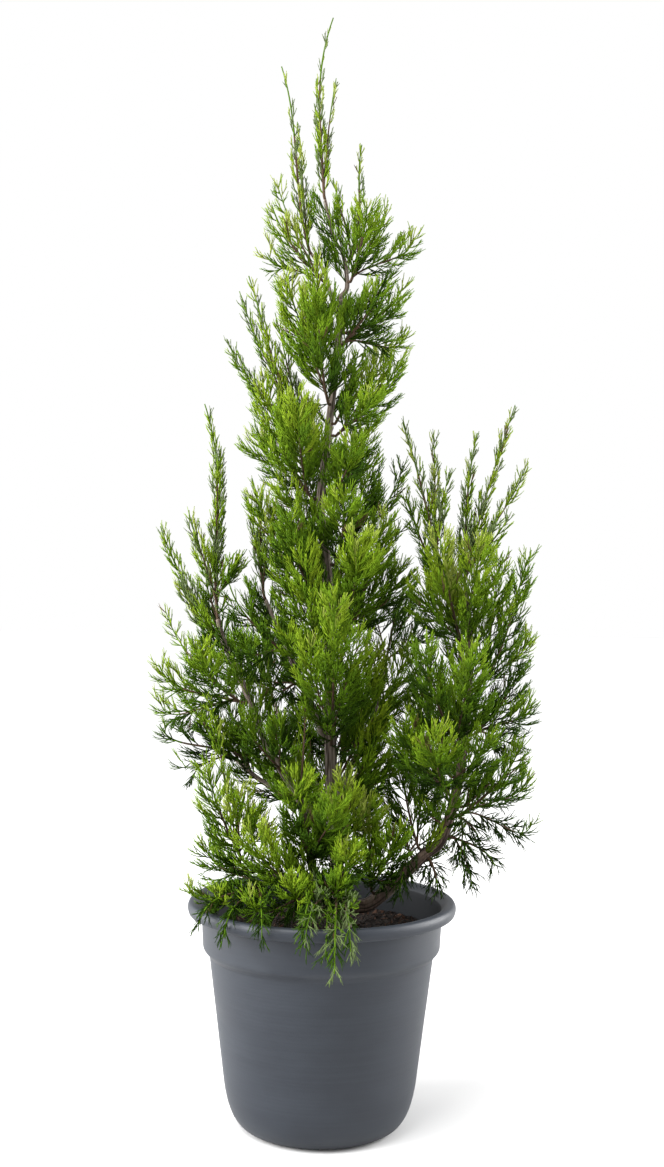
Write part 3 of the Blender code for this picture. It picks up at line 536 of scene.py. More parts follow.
def tube_surface(path, radii, dome=0.0):
    """A closed tube along a path. radii has a row for each point of it and a column for each side,
    and at the angle a a corner stands at point + radius * (cos a * side + sin a * front), with side
    and front at right angles across the path's way. The end may rise to a dome."""
    way = unit(np.gradient(path, axis=0))
    across = unit(np.cross(path[-1] - path[0], ACROSS))
    side = unit(across - way * (way @ across)[:, None])
    angle = np.linspace(0.0, 2 * math.pi, radii.shape[1], endpoint=False)[None, :, None]
    ring = np.cos(angle) * side[:, None] + np.sin(angle) * np.cross(way, side)[:, None]
    points = (path[:, None] + radii[..., None] * ring).reshape(-1, 3)
    return np.vstack([points, path[:1], path[-1:] + way[-1:] * dome]), tube_faces(*radii.shape)


def bark_surface(name, seed):
    """A limb's tube with strips of bark. At a length s and an angle a its radius is the taper times
    1 + relief * (strips + flakes + lumps). The strips are the sum of cos(n a + wander(s)) for
    several whole numbers n, so that they close round the limb, over the root of their number and
    sharpened by a power. The relief of strips and flakes is given too, for the bark's colours."""
    path, radii = GROWN[name]
    draws = np.random.default_rng(seed)
    s = (np.arange(len(path)) * length_of(path) / (len(path) - 1))[:, None]
    angle = np.linspace(0.0, 2 * math.pi, LIMB_SIDES.get(name, THIN_LIMB_SIDES), endpoint=False)[None]
    strips = 0.0
    for number in STRIPS:
        phase = draws.uniform(*STRIP_PHASES)
        rate, swing = draws.uniform(*STRIP_RATES), draws.uniform(*STRIP_SWINGS)
        strips = strips + np.cos(number * angle + phase + swing * np.sin(rate * s + phase))
    strips = strips / math.sqrt(len(STRIPS))
    places = np.stack(np.broadcast_arrays(np.cos(angle), np.sin(angle), FLAKE_STRETCH * s), -1)
    flakes = ripples(places, FLAKE_WAVES, FLAKE_SCALE, seed + 1)
    relief = np.sign(strips) * np.abs(strips) ** STRIP_POWER + FLAKES * flakes
    lumps = LUMPS
    for rate in LUMP_RATES:
        lumps = lumps * np.sin(rate * s + draws.uniform(*LUMP_PHASES))
    radii_here = radii[:, None] * (1 + BARK_RELIEF * (relief + lumps))
    return *tube_surface(path, radii_here, radii[-1] * TIP_DOME), np.append(relief.ravel(), [0.0, 0.0])


def bark_finish(crack, low, high, lichen):
    """Bark coloured by its relief: dark in the cracks, from low to high with the grain on the
    strips, and with cloudy patches of lichen."""
    def build(place):
        relief = place.node("Attribute", {"attribute_name": "relief"}, output=2)
        grain = place.noise(420.0, 4.0, (1.0, 1.0, 0.16))
        patches = place.noise(34.0, 3.0)
        wood = (grain * 0.7 + patches * 0.3).between(0.36, 0.66).blend(low, high)
        wood = (patches.between(0.55, 0.75) * 0.55).blend(wood, lichen)
        return {"Base Color": relief.between(-1.4, 0.5).blend(crack, wood),
                "Normal": bump(grain, 0.0006, 0.8)}
    return build


GROWN = grow_limbs()
BARKS = {name: finish(name, 0.9, bark_finish(*colours), mean, 0.2)
         for name, (*colours, mean) in BARK_COLOURS.items()}
for number, name in enumerate(LIMBS):
    bark = "bark_brown" if name in BROWN_LIMBS else "bark_grey"
    points, faces, relief = bark_surface(name, BARK_SEED + 3 * number)
    limb = mesh_piece(f"{name}_bark", points, faces, BARKS[bark])
    mask = limb.data.attributes.new("relief", "FLOAT", "POINT")
    mask.data.foreach_set("value", relief.astype(np.float32))
    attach(limb, "root")
    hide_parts(name)

# Shoots
# The leads that each mass's stem parts into: slim woody shoots, brown at the foot and green where
# the year's growth starts. They follow the part's rule, and all the foliage stands on them.

LEAD_POINTS = 8
SHOOT_POINTS = 48
LEAD_ARM = 0.36
LEAD_TURN_IN = 0.35
STUB = 0.004
STEM_OUT = 0.6
STEM_CLIMB = 0.3
SIDE_LEAD_START = 0.10
SIDE_LEAD_STEP = 0.14
SIDE_LEAD_FOLLOW = 0.4
CORE_RADIUS = 0.0026
SHOOT_RADII = (0.0017, 0.0007)
SIDE_SHOOT = 0.75
SHOOT_SIDES = 7
DROOP = -1.2
WOODY_SHARE = 0.62
Mass = namedtuple("Mass", "carrier height leads")
Lead = namedtuple("Lead", "tip spread rise", defaults=[1.0])


def rows_to_masses(rows):
    """Masses by name. A row is a mass's carrier, the height where it leaves it, and its leads: each
    one's tip, how far its sprays spread, and its rise at the tip, 1 unless it droops."""
    return {name: Mass(carrier, height, [Lead(lead[:3], *lead[3:]) for lead in leads])
            for name, (carrier, height, *leads) in rows.items()}


MASSES = rows_to_masses({
    "crown_lead": ("right_leader", TIP, (0.001, 0.0, 1.234, 0.013), (0.005, 0.025, 1.175, 0.011),
        (-0.017, -0.02, 1.159, 0.011)),
    "left_lead": ("left_leader", TIP, (-0.057, 0.02, 1.186, 0.014), (-0.039, 0.04, 1.13, 0.013),
        (-0.02, 0.03, 1.047, 0.015)),
    "left_shoulder": ("left_leader", 0.940, (-0.064, -0.03, 1.016, 0.022),
        (-0.069, -0.01, 0.968, 0.026), (-0.06, 0.025, 1.052, 0.013)),
    "right_lead": ("right_leader", 0.961, (0.035, 0.025, 1.1, 0.014), (0.003, -0.025, 1.048, 0.015)),
    "right_shoulder": ("right_leader", 0.938, (0.041, -0.035, 1.014, 0.022),
        (0.062, 0.025, 1.024, 0.018), (0.095, 0.005, 0.989, 0.02)),
    "right_upper": ("trunk", 0.868, (0.052, -0.045, 0.921, 0.026), (0.083, 0.02, 0.938, 0.015),
        (0.085, 0.03, 0.882, 0.019)),
    "right_mid": ("trunk", 0.767, (0.078, -0.012, 0.85, 0.026), (0.046, -0.065, 0.803, 0.026),
        (0.062, 0.07, 0.874, 0.026)),
    "centre_top": ("trunk", 0.801, (-0.013, -0.065, 0.93, 0.026), (-0.048, -0.03, 0.936, 0.025),
        (-0.02, 0.075, 0.935, 0.028)),
    "left_tufts": ("trunk", 0.739, (-0.089, -0.02, 0.94, 0.014), (-0.103, 0.04, 0.935, 0.012),
        (-0.112, -0.02, 0.87, 0.015), (-0.062, 0.04, 0.911, 0.014)),
    "left_mid": ("trunk", 0.695, (-0.073, -0.02, 0.82, 0.028), (-0.078, 0.02, 0.762, 0.028),
        (-0.032, -0.08, 0.798, 0.028), (-0.03, 0.08, 0.8, 0.03)),
    "right_mid_low": ("trunk", 0.689, (0.048, -0.02, 0.777, 0.026), (0.027, -0.075, 0.752, 0.027),
        (0.03, 0.085, 0.77, 0.03)),
    "right_low_mid": ("trunk", 0.622, (0.043, -0.025, 0.718, 0.024), (0.019, -0.085, 0.694, 0.027)),
    "left_low_mid": ("trunk", 0.577, (-0.077, -0.015, 0.694, 0.026), (-0.067, 0.04, 0.658, 0.024),
        (-0.04, -0.08, 0.669, 0.027)),
    "left_sub_spire": ("left_upper_bough", TIP, (-0.084, 0.0, 0.718, 0.012),
        (-0.089, 0.025, 0.695, 0.01), (-0.065, -0.015, 0.648, 0.013)),
    "right_rear_upper": ("trunk", 0.600, (0.055, 0.06, 0.742, 0.018), (0.088, 0.055, 0.739, 0.018),
        (0.083, 0.045, 0.662, 0.02)),
    "right_centre": ("trunk", 0.533, (0.063, -0.045, 0.67, 0.028), (0.083, 0.01, 0.62, 0.027),
        (0.036, -0.1, 0.649, 0.029)),
    "centre_left_front": ("trunk", 0.482, (-0.023, -0.08, 0.64, 0.027), (-0.047, -0.04, 0.622, 0.025),
        (-0.04, -0.075, 0.545, 0.027)),
    "centre_front": ("trunk", 0.421, (0.01, -0.135, 0.583, 0.03), (-0.014, -0.11, 0.535, 0.027),
        (0.031, -0.1, 0.545, 0.027)),
    "centre_right_low": ("trunk", 0.387, (0.055, -0.01, 0.527, 0.029), (0.09, 0.015, 0.52, 0.027)),
    "left_spire": ("left_bough", TIP, (-0.136, -0.02, 0.798, 0.014), (-0.119, 0.005, 0.754, 0.012),
        (-0.149, -0.045, 0.675, 0.016), (-0.096, -0.03, 0.626, 0.021)),
    "left_spire_outer": ("left_bough", 0.519, (-0.188, 0.02, 0.664, 0.017),
        (-0.163, -0.015, 0.603, 0.021)),
    "left_outer": ("left_bough", 0.471, (-0.181, -0.035, 0.51, 0.025), (-0.18, 0.015, 0.567, 0.008),
        (-0.13, -0.1, 0.53, 0.03), (-0.186, 0.02, 0.465, 0.022)),
    "left_inner": ("left_upper_bough", 0.524, (-0.104, -0.045, 0.598, 0.027),
        (-0.084, -0.09, 0.54, 0.028)),
    "left_inner_twigs": ("left_bough", 0.392, (-0.092, -0.055, 0.462, 0.02),
        (-0.046, -0.07, 0.452, 0.022)),
    "left_under": ("left_side_bough", TIP, (-0.187, 0.03, 0.438, 0.025), (-0.165, 0.065, 0.393, 0.022),
        (-0.095, 0.065, 0.48, 0.026)),
    "left_column": ("left_low_bough", TIP, (-0.125, -0.07, 0.404, 0.024), (-0.124, -0.07, 0.485, 0.008),
        (-0.088, -0.08, 0.373, 0.026), (-0.066, -0.04, 0.332, 0.025)),
    "rim_left": ("left_low_bough", 0.276, (-0.146, -0.04, 0.268, 0.018), (-0.133, 0.015, 0.303, 0.021),
        (-0.112, -0.085, 0.27, 0.019)),
    "front_left": ("front_stem", 0.264, (-0.076, -0.12, 0.276, 0.021), (-0.074, -0.098, 0.338, 0.03),
        (-0.03, -0.125, 0.292, 0.022)),
    "front_stem_top": ("front_stem", TIP, (-0.025, -0.09, 0.388, 0.027),
        (-0.031, -0.045, 0.532, 0.008)),
    "bottom_centre": ("trunk", 0.286, (0.024, -0.075, 0.386, 0.028), (0.049, -0.05, 0.362, 0.026),
        (0.026, -0.115, 0.32, 0.026)),
    "rim_sprig": ("trunk", 0.263, (0.014, -0.192, 0.217, 0.014, DROOP),
        (-0.016, -0.176, 0.238, 0.013, DROOP), (0.03, -0.174, 0.231, 0.013, DROOP)),
    "bottom_right": ("right_stem", 0.248, (0.055, -0.035, 0.35, 0.027), (0.078, -0.06, 0.328, 0.028)),
    "bottom_right_inner": ("right_stem", 0.299, (0.086, 0.03, 0.397, 0.027),
        (0.118, 0.04, 0.395, 0.026), (0.084, -0.05, 0.262, 0.013, DROOP)),
    "right_spire": ("right_stem", TIP, (0.166, -0.015, 0.77, 0.013), (0.212, 0.02, 0.806, 0.014),
        (0.229, 0.035, 0.744, 0.013), (0.2, -0.025, 0.679, 0.015)),
    "right_inner_spire": ("right_inner_bough", TIP, (0.083, -0.015, 0.781, 0.011),
        (0.119, 0.015, 0.774, 0.012), (0.134, -0.03, 0.725, 0.013)),
    "right_body_front": ("right_stem", 0.523, (0.122, -0.075, 0.649, 0.028),
        (0.163, -0.08, 0.643, 0.028), (0.106, -0.045, 0.598, 0.025)),
    "right_outer": ("right_stem", 0.484, (0.227, 0.0, 0.634, 0.021), (0.19, -0.045, 0.628, 0.027),
        (0.232, 0.035, 0.54, 0.023)),
    "right_lower_front": ("right_stem", 0.417, (0.105, -0.11, 0.535, 0.031),
        (0.151, -0.12, 0.531, 0.031)),
    "right_lower_outer": ("right_stem", 0.434, (0.219, 0.01, 0.509, 0.025),
        (0.225, -0.03, 0.471, 0.023), (0.222, 0.045, 0.43, 0.022)),
    "right_low_front": ("right_stem", 0.366, (0.087, -0.07, 0.449, 0.028), (0.116, -0.12, 0.445, 0.031),
        (0.172, -0.085, 0.44, 0.027)),
    "right_low_outer": ("right_stem", 0.347, (0.217, -0.02, 0.424, 0.026), (0.233, 0.03, 0.384, 0.023),
        (0.238, 0.03, 0.331, 0.018)),
    "right_droop": ("right_stem", 0.323, (0.193, 0.0, 0.287, 0.014, DROOP),
        (0.165, -0.03, 0.268, 0.012, DROOP)),
    "rear_right": ("rear_right_bough", TIP, (0.092, 0.09, 0.597, 0.027), (0.055, 0.14, 0.59, 0.03),
        (0.118, 0.13, 0.55, 0.03)),
    "rear_left": ("rear_left_bough", TIP, (-0.08, 0.1, 0.56, 0.028), (-0.115, 0.13, 0.52, 0.03),
        (-0.045, 0.15, 0.53, 0.03)),
    "rear_low": ("trunk", 0.292, (-0.028, 0.125, 0.37, 0.032), (0.055, 0.125, 0.365, 0.032)),
    "rear_mid": ("trunk", 0.516, (-0.012, 0.11, 0.65, 0.03), (0.026, 0.145, 0.63, 0.03)),
})
# Short shoots from inside the plant, which fill it in between the masses and hang over the rim.
INNER = rows_to_masses({
    "gap_left": ("trunk", 0.640, (-0.046, -0.03, 0.707, 0.026), (-0.07, 0.0, 0.68, 0.022),
        (-0.029, 0.03, 0.721, 0.024)),
    "gap_right": ("right_inner_bough", 0.600, (0.088, 0.0, 0.7, 0.01)),
    "stem_droop": ("right_stem", 0.345, (0.176, 0.0, 0.314, 0.013, DROOP),
        (0.151, -0.03, 0.293, 0.014, DROOP)),
    "stem_low_droop": ("right_stem", 0.300, (0.128, -0.02, 0.264, 0.012, DROOP),
        (0.116, 0.03, 0.274, 0.014, DROOP)),
    "bough_inner": ("left_upper_bough", 0.492, (-0.053, -0.03, 0.486, 0.018),
        (-0.071, 0.02, 0.5, 0.016)),
    "right_inner_low": ("trunk", 0.360, (0.058, -0.02, 0.438, 0.024), (0.079, 0.0, 0.396, 0.022)),
    "right_inner_mid": ("right_stem", 0.385, (0.091, 0.03, 0.47, 0.024), (0.083, 0.05, 0.419, 0.022)),
    "side_bough_inner": ("left_side_bough", 0.385, (-0.11, 0.0, 0.431, 0.02),
        (-0.089, -0.02, 0.443, 0.018)),
    "left_foot": ("left_low_bough", 0.285, (-0.11, -0.03, 0.299, 0.018), (-0.091, -0.06, 0.315, 0.018)),
    "stem_foot": ("right_stem", 0.262, (0.079, -0.03, 0.297, 0.018), (0.054, -0.06, 0.296, 0.02)),
    "crown_right": ("trunk", 0.900, (0.07, 0.0, 0.951, 0.014)),
    "upper_right": ("trunk", 0.882, (0.079, -0.01, 0.913, 0.013)),
    "front_fill": ("front_stem", 0.300, (-0.032, -0.1, 0.382, 0.022), (0.012, -0.12, 0.375, 0.024)),
    "front_fill_low": ("front_stem", 0.270, (0.031, -0.11, 0.322, 0.024), (0.017, -0.13, 0.297, 0.02)),
    "left_column_fill": ("trunk", 0.780, (0.033, -0.02, 0.857, 0.014)),
    "left_shoulder_fill": ("left_bough", 0.560, (-0.134, 0.0, 0.601, 0.015),
        (-0.152, 0.01, 0.513, 0.015)),
    "left_edge_fill": ("left_side_bough", 0.405, (-0.159, 0.0, 0.48, 0.014),
        (-0.136, -0.03, 0.455, 0.015)),
    "right_gap_fill": ("right_stem", 0.420, (0.089, 0.01, 0.533, 0.015), (0.104, 0.03, 0.481, 0.014)),
    "stem_front": ("right_stem", 0.330, (0.14, -0.05, 0.379, 0.02), (0.111, -0.03, 0.358, 0.018)),
    "stem_out": ("right_stem", 0.355, (0.183, 0.01, 0.353, 0.015, DROOP),
        (0.195, -0.02, 0.38, 0.014, DROOP)),
    "stem_in": ("right_stem", 0.290, (0.092, 0.02, 0.328, 0.018), (0.135, 0.05, 0.3, 0.016, DROOP)),
    "rear_fill": ("trunk", 0.400, (0.03, 0.085, 0.475, 0.024), (-0.035, 0.09, 0.455, 0.024)),
    "rear_fill_low": ("trunk", 0.325, (0.0, 0.1, 0.4, 0.024), (0.055, 0.075, 0.385, 0.022),
        (-0.055, 0.08, 0.39, 0.022)),
    "rear_fill_high": ("trunk", 0.660, (0.02, 0.07, 0.735, 0.02), (-0.03, 0.065, 0.75, 0.02)),
    "rim_sprig_fill": ("trunk", 0.268, (-0.018, -0.155, 0.246, 0.011, DROOP),
        (0.005, -0.16, 0.224, 0.011, DROOP)),
    "rim_left_droop": ("left_low_bough", 0.276, (-0.128, -0.105, 0.243, 0.013, DROOP),
        (-0.1, -0.128, 0.236, 0.013, DROOP), (-0.06, -0.15, 0.24, 0.013, DROOP)),
})
SHOOTS = MASSES | INNER


def bezier_path(foot, way_out, tip, way_in, count):
    """A cubic curve that leaves the foot along way_out and comes to the tip along way_in:
    (1-t)^3 a + 3t(1-t)^2 b + 3t^2(1-t) c + t^3 d, with arms of a set share of the way."""
    arm = LEAD_ARM * np.linalg.norm(np.asarray(tip) - foot)
    a, b, c, d = foot, foot + way_out * arm, tip - way_in * arm, np.asarray(tip, float)
    t = np.linspace(0.0, 1.0, count)[:, None]
    return (1 - t) ** 3 * a + 3 * t * (1 - t) ** 2 * b + 3 * t ** 2 * (1 - t) * c + t ** 3 * d


def grow_leads(count):
    """Each lead's path with so many points, mass by mass. The first of a mass is its stem, and the
    others part from it near its foot."""
    paths = []
    for mass in SHOOTS.values():
        foot, way = leave(GROWN, mass.carrier, mass.height, mass.leads[0].tip, CORE_RADIUS)
        stub = foot + way * STUB
        for number, lead in enumerate(mass.leads):
            tip = np.array(lead.tip)
            level = unit((tip - stub) * (1.0, 1.0, 0.0))
            way_in = unit(level * LEAD_TURN_IN + UP * lead.rise)
            if number == 0:
                way_out = unit(unit(tip - stub) + way * STEM_OUT + UP * STEM_CLIMB)
                path = bezier_path(stub, way_out, tip, way_in, count)
                first = bezier_path(stub, way_out, tip, way_in, LEAD_POINTS)[1] - stub
                path = np.vstack([foot - way * FOOT_SUNK, path])
            else:
                start = stub + first * (SIDE_LEAD_START + SIDE_LEAD_STEP * number)
                way_out = unit(unit(tip - start) + unit(first) * SIDE_LEAD_FOLLOW)
                path = bezier_path(start, way_out, tip, way_in, count + 1)
            paths.append(path)
    return np.array(paths)


def joined(parts):
    """Several meshes' corners and faces as one mesh's."""
    starts = np.cumsum([0] + [len(points) for points, _ in parts[:-1]])
    return (np.vstack([points for points, _ in parts]),
            np.vstack([faces + start for (_, faces), start in zip(parts, starts)]))


MASS_NAMES = list(MASSES)
LEADS = [lead for mass in SHOOTS.values() for lead in mass.leads]
LEAD_MASS = np.array([number for number, mass in enumerate(SHOOTS.values()) for _ in mass.leads])
LEAD_FIRST = np.array([lead is mass.leads[0] for mass in SHOOTS.values() for lead in mass.leads])
COARSE = list(grow_leads(LEAD_POINTS))
FINE = list(grow_leads(SHOOT_POINTS))
woody, green = [], []
for path, first in zip(FINE, LEAD_FIRST):
    share = np.linspace(0.0, 1.0, len(path))
    radii = SHOOT_RADII[0] + (SHOOT_RADII[1] - SHOOT_RADII[0]) * share
    radii = np.tile((radii * (1.0 if first else SIDE_SHOOT))[:, None], SHOOT_SIDES)
    cut = round(WOODY_SHARE * len(path))
    woody.append(tube_surface(path[:cut + 1], radii[:cut + 1]))
    green.append(tube_surface(path[cut:], radii[cut:]))

# Sprays
# Thread-like branchlets clothed in scale leaves, in feathery sprays all along each shoot. A shoot
# carries twigs, a twig carries twiglets to both sides, and those carry the last short branchlets.

SEED = 41
BARE_FOOT = 0.006
MOST_BARE = 0.3
LEAST_TWIGS = 6
TWIG_PITCH = 0.0043
TWIG_PLACES = (0.2, 0.8)
TURN_DRIFT = 0.35
LOOK_STEP = 0.02
REACH = (1.00, 0.26)
REACH_RANGE = (0.75, 1.12)
SWEEP_RANGE = (1.12, 1.70)
HANGING = -0.2
TWIG_LIFTS = (0.18, -0.1)
TWIG_BOW = 0.20
TRIALS = (1.0, 0.82, 0.65, 0.5, 0.35)
TESTED = np.linspace(0.3, 1.0, 4)[None, :, None]
MINGLE = 1.25
LIMB_STRIDE = 6
LIMB_CLEARANCE = 0.0008
RIM_CLEARANCE = 0.001
WALL_CLEARANCE = 0.003
SOIL_CLEARANCE = 0.002
CHUNK = 4000
SPIRE_END = 0.94
SPIRE_SWEEP = 2.2
SPIRE_REACH = 0.52
CROWN_REACH = 0.45
SPIRE_NARROWING = 0.4
OUTER_REACH = 0.80
THIN_GAPS = 0.4
SPIRE_GAPS = 0.15
GAPS_START = 0.4
CROWN_SLIM = 0.66
SPIRE_SLIM = 0.85
Side = namedtuple("Side", "pitch most base share longest lean")
TWIGLETS = Side(0.0039, 13, 0.0095, 0.44, 0.033, 0.42)
BRANCHLETS = Side(0.0046, 5, 0.0060, 0.28, 0.013, 0.36)
CURVE_LENGTH = 1.04
SIDE_PLACE_START = 0.55
SIDE_PLACE_DRIFT = 0.2
SIDE_PLACES_SPARE = 0.35
SIDE_SPIN = 0.55
SIDE_RANGE = (0.7, 1.2)
SIDE_LIFTS = (0.16, -0.08)
SIDE_TURN_BACK = 0.32
TWIG_RADII = (0.00078, 0.00060)
TWIGLET_RADII = (0.00065, 0.00050)
BRANCHLET_RADII = (0.00055, 0.00038)
THREAD_ACROSS = (0.31, 0.52, 0.79)
MOST_FACES = 170000
LIMB_SPRAYS = dict.fromkeys(LIMBS, (0.2, 1.0, 0.022)) | {
    "trunk": (0.2, 1.0, 0.024), "left_leader": (0.1, 0.9, 0.016), "right_leader": (0.1, 0.85, 0.018),
    "right_stem": (0.22, 1.0, 0.026), "front_stem": (0.15, 1.0, 0.024),
    "left_bough": (0.15, 1.0, 0.022), "left_side_bough": (0.25, 1.0, 0.022),
    "left_low_bough": (0.3, 1.0, 0.020), "right_inner_bough": (0.3, 1.0, 0.020)}
CROWN = ("crown_lead", "left_lead", "right_lead")
OUTER = ("left_outer", "left_under", "right_outer", "right_lower_outer", "right_low_outer", "right_mid",
         "right_mid_low", "right_shoulder", "left_shoulder", "right_upper")
THINNED = ("left_inner_twigs", "left_under", "left_inner", "rear_right", "right_rear_upper",
           "left_shoulder")
# Masses that stand in shade, given darker tones: painted shade.
PAINTED_SHADE_MASSES = ("rear_right", "rear_left", "rear_low", "rear_mid", "left_under", "left_inner_twigs", "left_inner",
        "bottom_right_inner", "right_low_mid", "right_rear_upper", "right_low_outer",
        "right_lower_outer", "right_droop")
# Masses that stand in the light, given brighter tones: painted light.
PAINTED_LIGHT_MASSES = ("centre_top", "left_outer", "left_mid", "front_left", "bottom_centre", "front_stem_top",
          "left_column", "left_shoulder", "right_body_front")
SPIRE_TONES = {"crown_lead": 3.4, "left_lead": 3.4, "right_lead": 3.2, "left_spire": 3.2,
               "left_spire_outer": 3.2, "right_spire": 3.0, "right_inner_spire": 3.0,
               "left_sub_spire": 2.8, "left_tufts": 2.8}
# Tones by mass: painted light and painted shade on the listed masses, and the inner shoots a little
# darker, partly painted shade.
TONES = (dict.fromkeys(SHOOTS, 2.4) | dict.fromkeys(INNER, 1.9) | dict.fromkeys(PAINTED_LIGHT_MASSES, 3.0)
         | dict.fromkeys(PAINTED_SHADE_MASSES, 1.2) | SPIRE_TONES)
LIMB_TONE = 1.3
LEAD_DRIFT = 0.45
SPRAY_DRIFT = 0.55
TIP_BRIGHTER = 2.2
# Painted light: sprays that point up are brighter, as if lit from above.
TOP_PAINTED_LIGHT = 1.8
TOP_EVEN = 0.60
TWIGLET_BRIGHTER = 0.9
BROWN_SHARE = 0.015
BROWN_END = 0.6
GREY_SHARE = 0.35
TINTS = {
    "shade_green": ("foliage_dark", (0.0115, 0.0285, 0.0016, 1.0)),
    "deep_green": ("foliage_dark", (0.025, 0.056, 0.003, 1.0)),
    "mid_green": ("foliage_green", (0.051, 0.101, 0.004, 1.0)),
    "fresh_green": ("foliage_bright", (0.086, 0.150, 0.006, 1.0)),
    "bright_green": ("foliage_bright", (0.136, 0.204, 0.010, 1.0)),
    "pale_green": ("foliage_tip", (0.190, 0.236, 0.038, 1.0)),
    "grey_green": ("foliage_tip", (0.086, 0.120, 0.042, 1.0)),
    "old_brown": ("foliage_dark", (0.066, 0.046, 0.020, 1.0))}
PALE, GREY, BROWN = 5, 6, 7
SHOOT_BROWN = (0.060, 0.036, 0.021, 1.0)

for name, (start, end, _) in LIMB_SPRAYS.items():
    COARSE.append(along(GROWN[name][0], np.linspace(start, end, LEAD_POINTS + 1)))
    FINE.append(along(GROWN[name][0], np.linspace(start, end, SHOOT_POINTS + 1)))
COARSE = np.array(COARSE)
SPREADS = np.array([lead.spread for lead in LEADS] + [spread for _, _, spread in LIMB_SPRAYS.values()])
ON_LIMB = np.arange(len(SPREADS)) >= len(LEADS)


def on_leads(names):
    """True for each lead of the named masses; the limbs' own sprays come last and are False."""
    chosen = np.array([name in names for name in SHOOTS])
    return np.append(chosen[LEAD_MASS], np.zeros(len(LIMB_SPRAYS), bool))


ON_SPIRE, ON_OUTER, ON_THIN = on_leads(SPIRE_TONES), on_leads(OUTER), on_leads(THINNED)
ON_CROWN = on_leads(CROWN)
EXTRA = np.arange(len(SPREADS)) >= sum(len(mass.leads) for mass in MASSES.values())


def stretch_distance(points, starts, steps):
    """Each point's distance to each straight stretch: |offset - share * step|, with the share of
    the step nearest to the point held between 0 and 1."""
    across = points @ steps.T - (starts * steps).sum(1)
    share = np.clip(across / (steps ** 2).sum(1), 0.0, 1.0)
    squared = ((points ** 2).sum(1)[:, None] - 2 * points @ starts.T + (starts ** 2).sum(1)
               - 2 * share * across + share ** 2 * (steps ** 2).sum(1))
    return np.sqrt(np.maximum(squared, 0.0))


def spaces(points, lead):
    """True for each row of places that all lie in their lead's space: nearer to it than to any
    other lead, measured in their spreads, and clear of the limbs, the pot and the soil."""
    rows, places = points.shape[:2]
    flat, owner = points.reshape(-1, 3), np.repeat(lead, places)
    starts, steps = COARSE[:, :-1].reshape(-1, 3), np.diff(COARSE, axis=1).reshape(-1, 3)
    routes = [np.vstack([path[:-1:LIMB_STRIDE], path[-1:]]) for path, _ in GROWN.values()]
    limb_starts = np.vstack([route[:-1] for route in routes])
    limb_steps = np.vstack([np.diff(route, axis=0) for route in routes])
    limb_radii_here = np.concatenate([radii[:-1:LIMB_STRIDE] for _, radii in GROWN.values()])
    good = np.empty(len(flat), bool)
    for begin in range(0, len(flat), CHUNK):
        here, mine = flat[begin:begin + CHUNK], owner[begin:begin + CHUNK]
        away = stretch_distance(here, starts, steps).reshape(len(here), len(SPREADS), -1).min(-1)
        relative = away / SPREADS
        own = relative[np.arange(len(here)), mine]
        relative[np.arange(len(here)), mine] = np.inf
        relative[:, EXTRA] = np.inf
        limb_gaps = stretch_distance(here, limb_starts, limb_steps) - limb_radii_here
        clear = limb_gaps.min(1) > LIMB_CLEARANCE
        level, height = np.hypot(here[:, 0], here[:, 1]), here[:, 2]
        low = (height < POT_HEIGHT + RIM_CLEARANCE) & (level < LIP_RADIUS + RIM_CLEARANCE)
        mouth = (level < COLLAR_RADIUS - WALL_CLEARANCE) & (height > SOIL_HEIGHT + SOIL_CLEARANCE)
        good[begin:begin + CHUNK] = (relative.min(1) * MINGLE > own) & clear & ~(low & ~mouth)
    return good.reshape(rows, places).all(1)


def curve_points(foot, control, tip, t):
    """A quadratic curve's points: (1-t)^2 foot + 2t(1-t) control + t^2 tip."""
    t = np.asarray(t)[..., None]
    return (1 - t) ** 2 * foot + 2 * t * (1 - t) * control + t ** 2 * tip


def corner_ways(foot, tip):
    """Three ways out from each thread, 120 degrees apart, and the first way across it."""
    way = unit(tip - foot)
    side = unit(np.cross(way, THREAD_ACROSS))
    angle = np.array([0.0, 2.0, 4.0])[None, :, None] * math.pi / 3
    return np.cos(angle) * side[:, None] + np.sin(angle) * np.cross(way, side)[:, None], side


def threads(foot, control, tip, radii, rings):
    """Three-sided closed threads along quadratic curves, pointed at the tip. A ring at share t
    stands at the radius between the two radii. Corners come thread by thread."""
    count = len(foot)
    shares = np.arange(rings) / rings
    centre = curve_points(foot[:, None], control[:, None], tip[:, None], shares[None])
    radius = (radii[0] + (radii[1] - radii[0]) * shares)[None, :, None, None]
    corners = centre[:, :, None] + radius * corner_ways(foot, tip)[0][:, None]
    points = np.concatenate([corners.reshape(count, -1, 3), tip[:, None]], axis=1)
    faces = [(2, 1, 0)]
    for low in range(0, 3 * (rings - 1), 3):
        for a, b in ((low, low + 1), (low + 1, low + 2), (low + 2, low)):
            faces += [(a, b, b + 3), (a, b + 3, a + 3)]
    last = 3 * (rings - 1)
    faces += [(last, last + 1, last + 3), (last + 1, last + 2, last + 3), (last + 2, last, last + 3)]
    return points, np.array(faces)


def wedges(foot, tip, radii):
    """Short closed threads: a three-cornered foot and a blunt tip of two corners, in six faces."""
    ways, side = corner_ways(foot, tip)
    low = foot[:, None] + radii[0] * ways
    high = tip[:, None] + np.array([1.0, -1.0])[None, :, None] * radii[1] * side[:, None]
    faces = np.array([(2, 1, 0), (0, 1, 3), (1, 4, 3), (1, 2, 4), (2, 0, 3), (2, 3, 4)])
    return np.concatenate([low, high], axis=1), faces


def picked(points, faces, rows):
    """The chosen threads' corners and faces as one mesh's. Corners come by thread, and every thread
    has the same faces."""
    chosen = faces + (np.arange(len(rows)) * points.shape[1])[:, None, None]
    return points[rows].reshape(-1, 3), chosen.reshape(-1, 3)


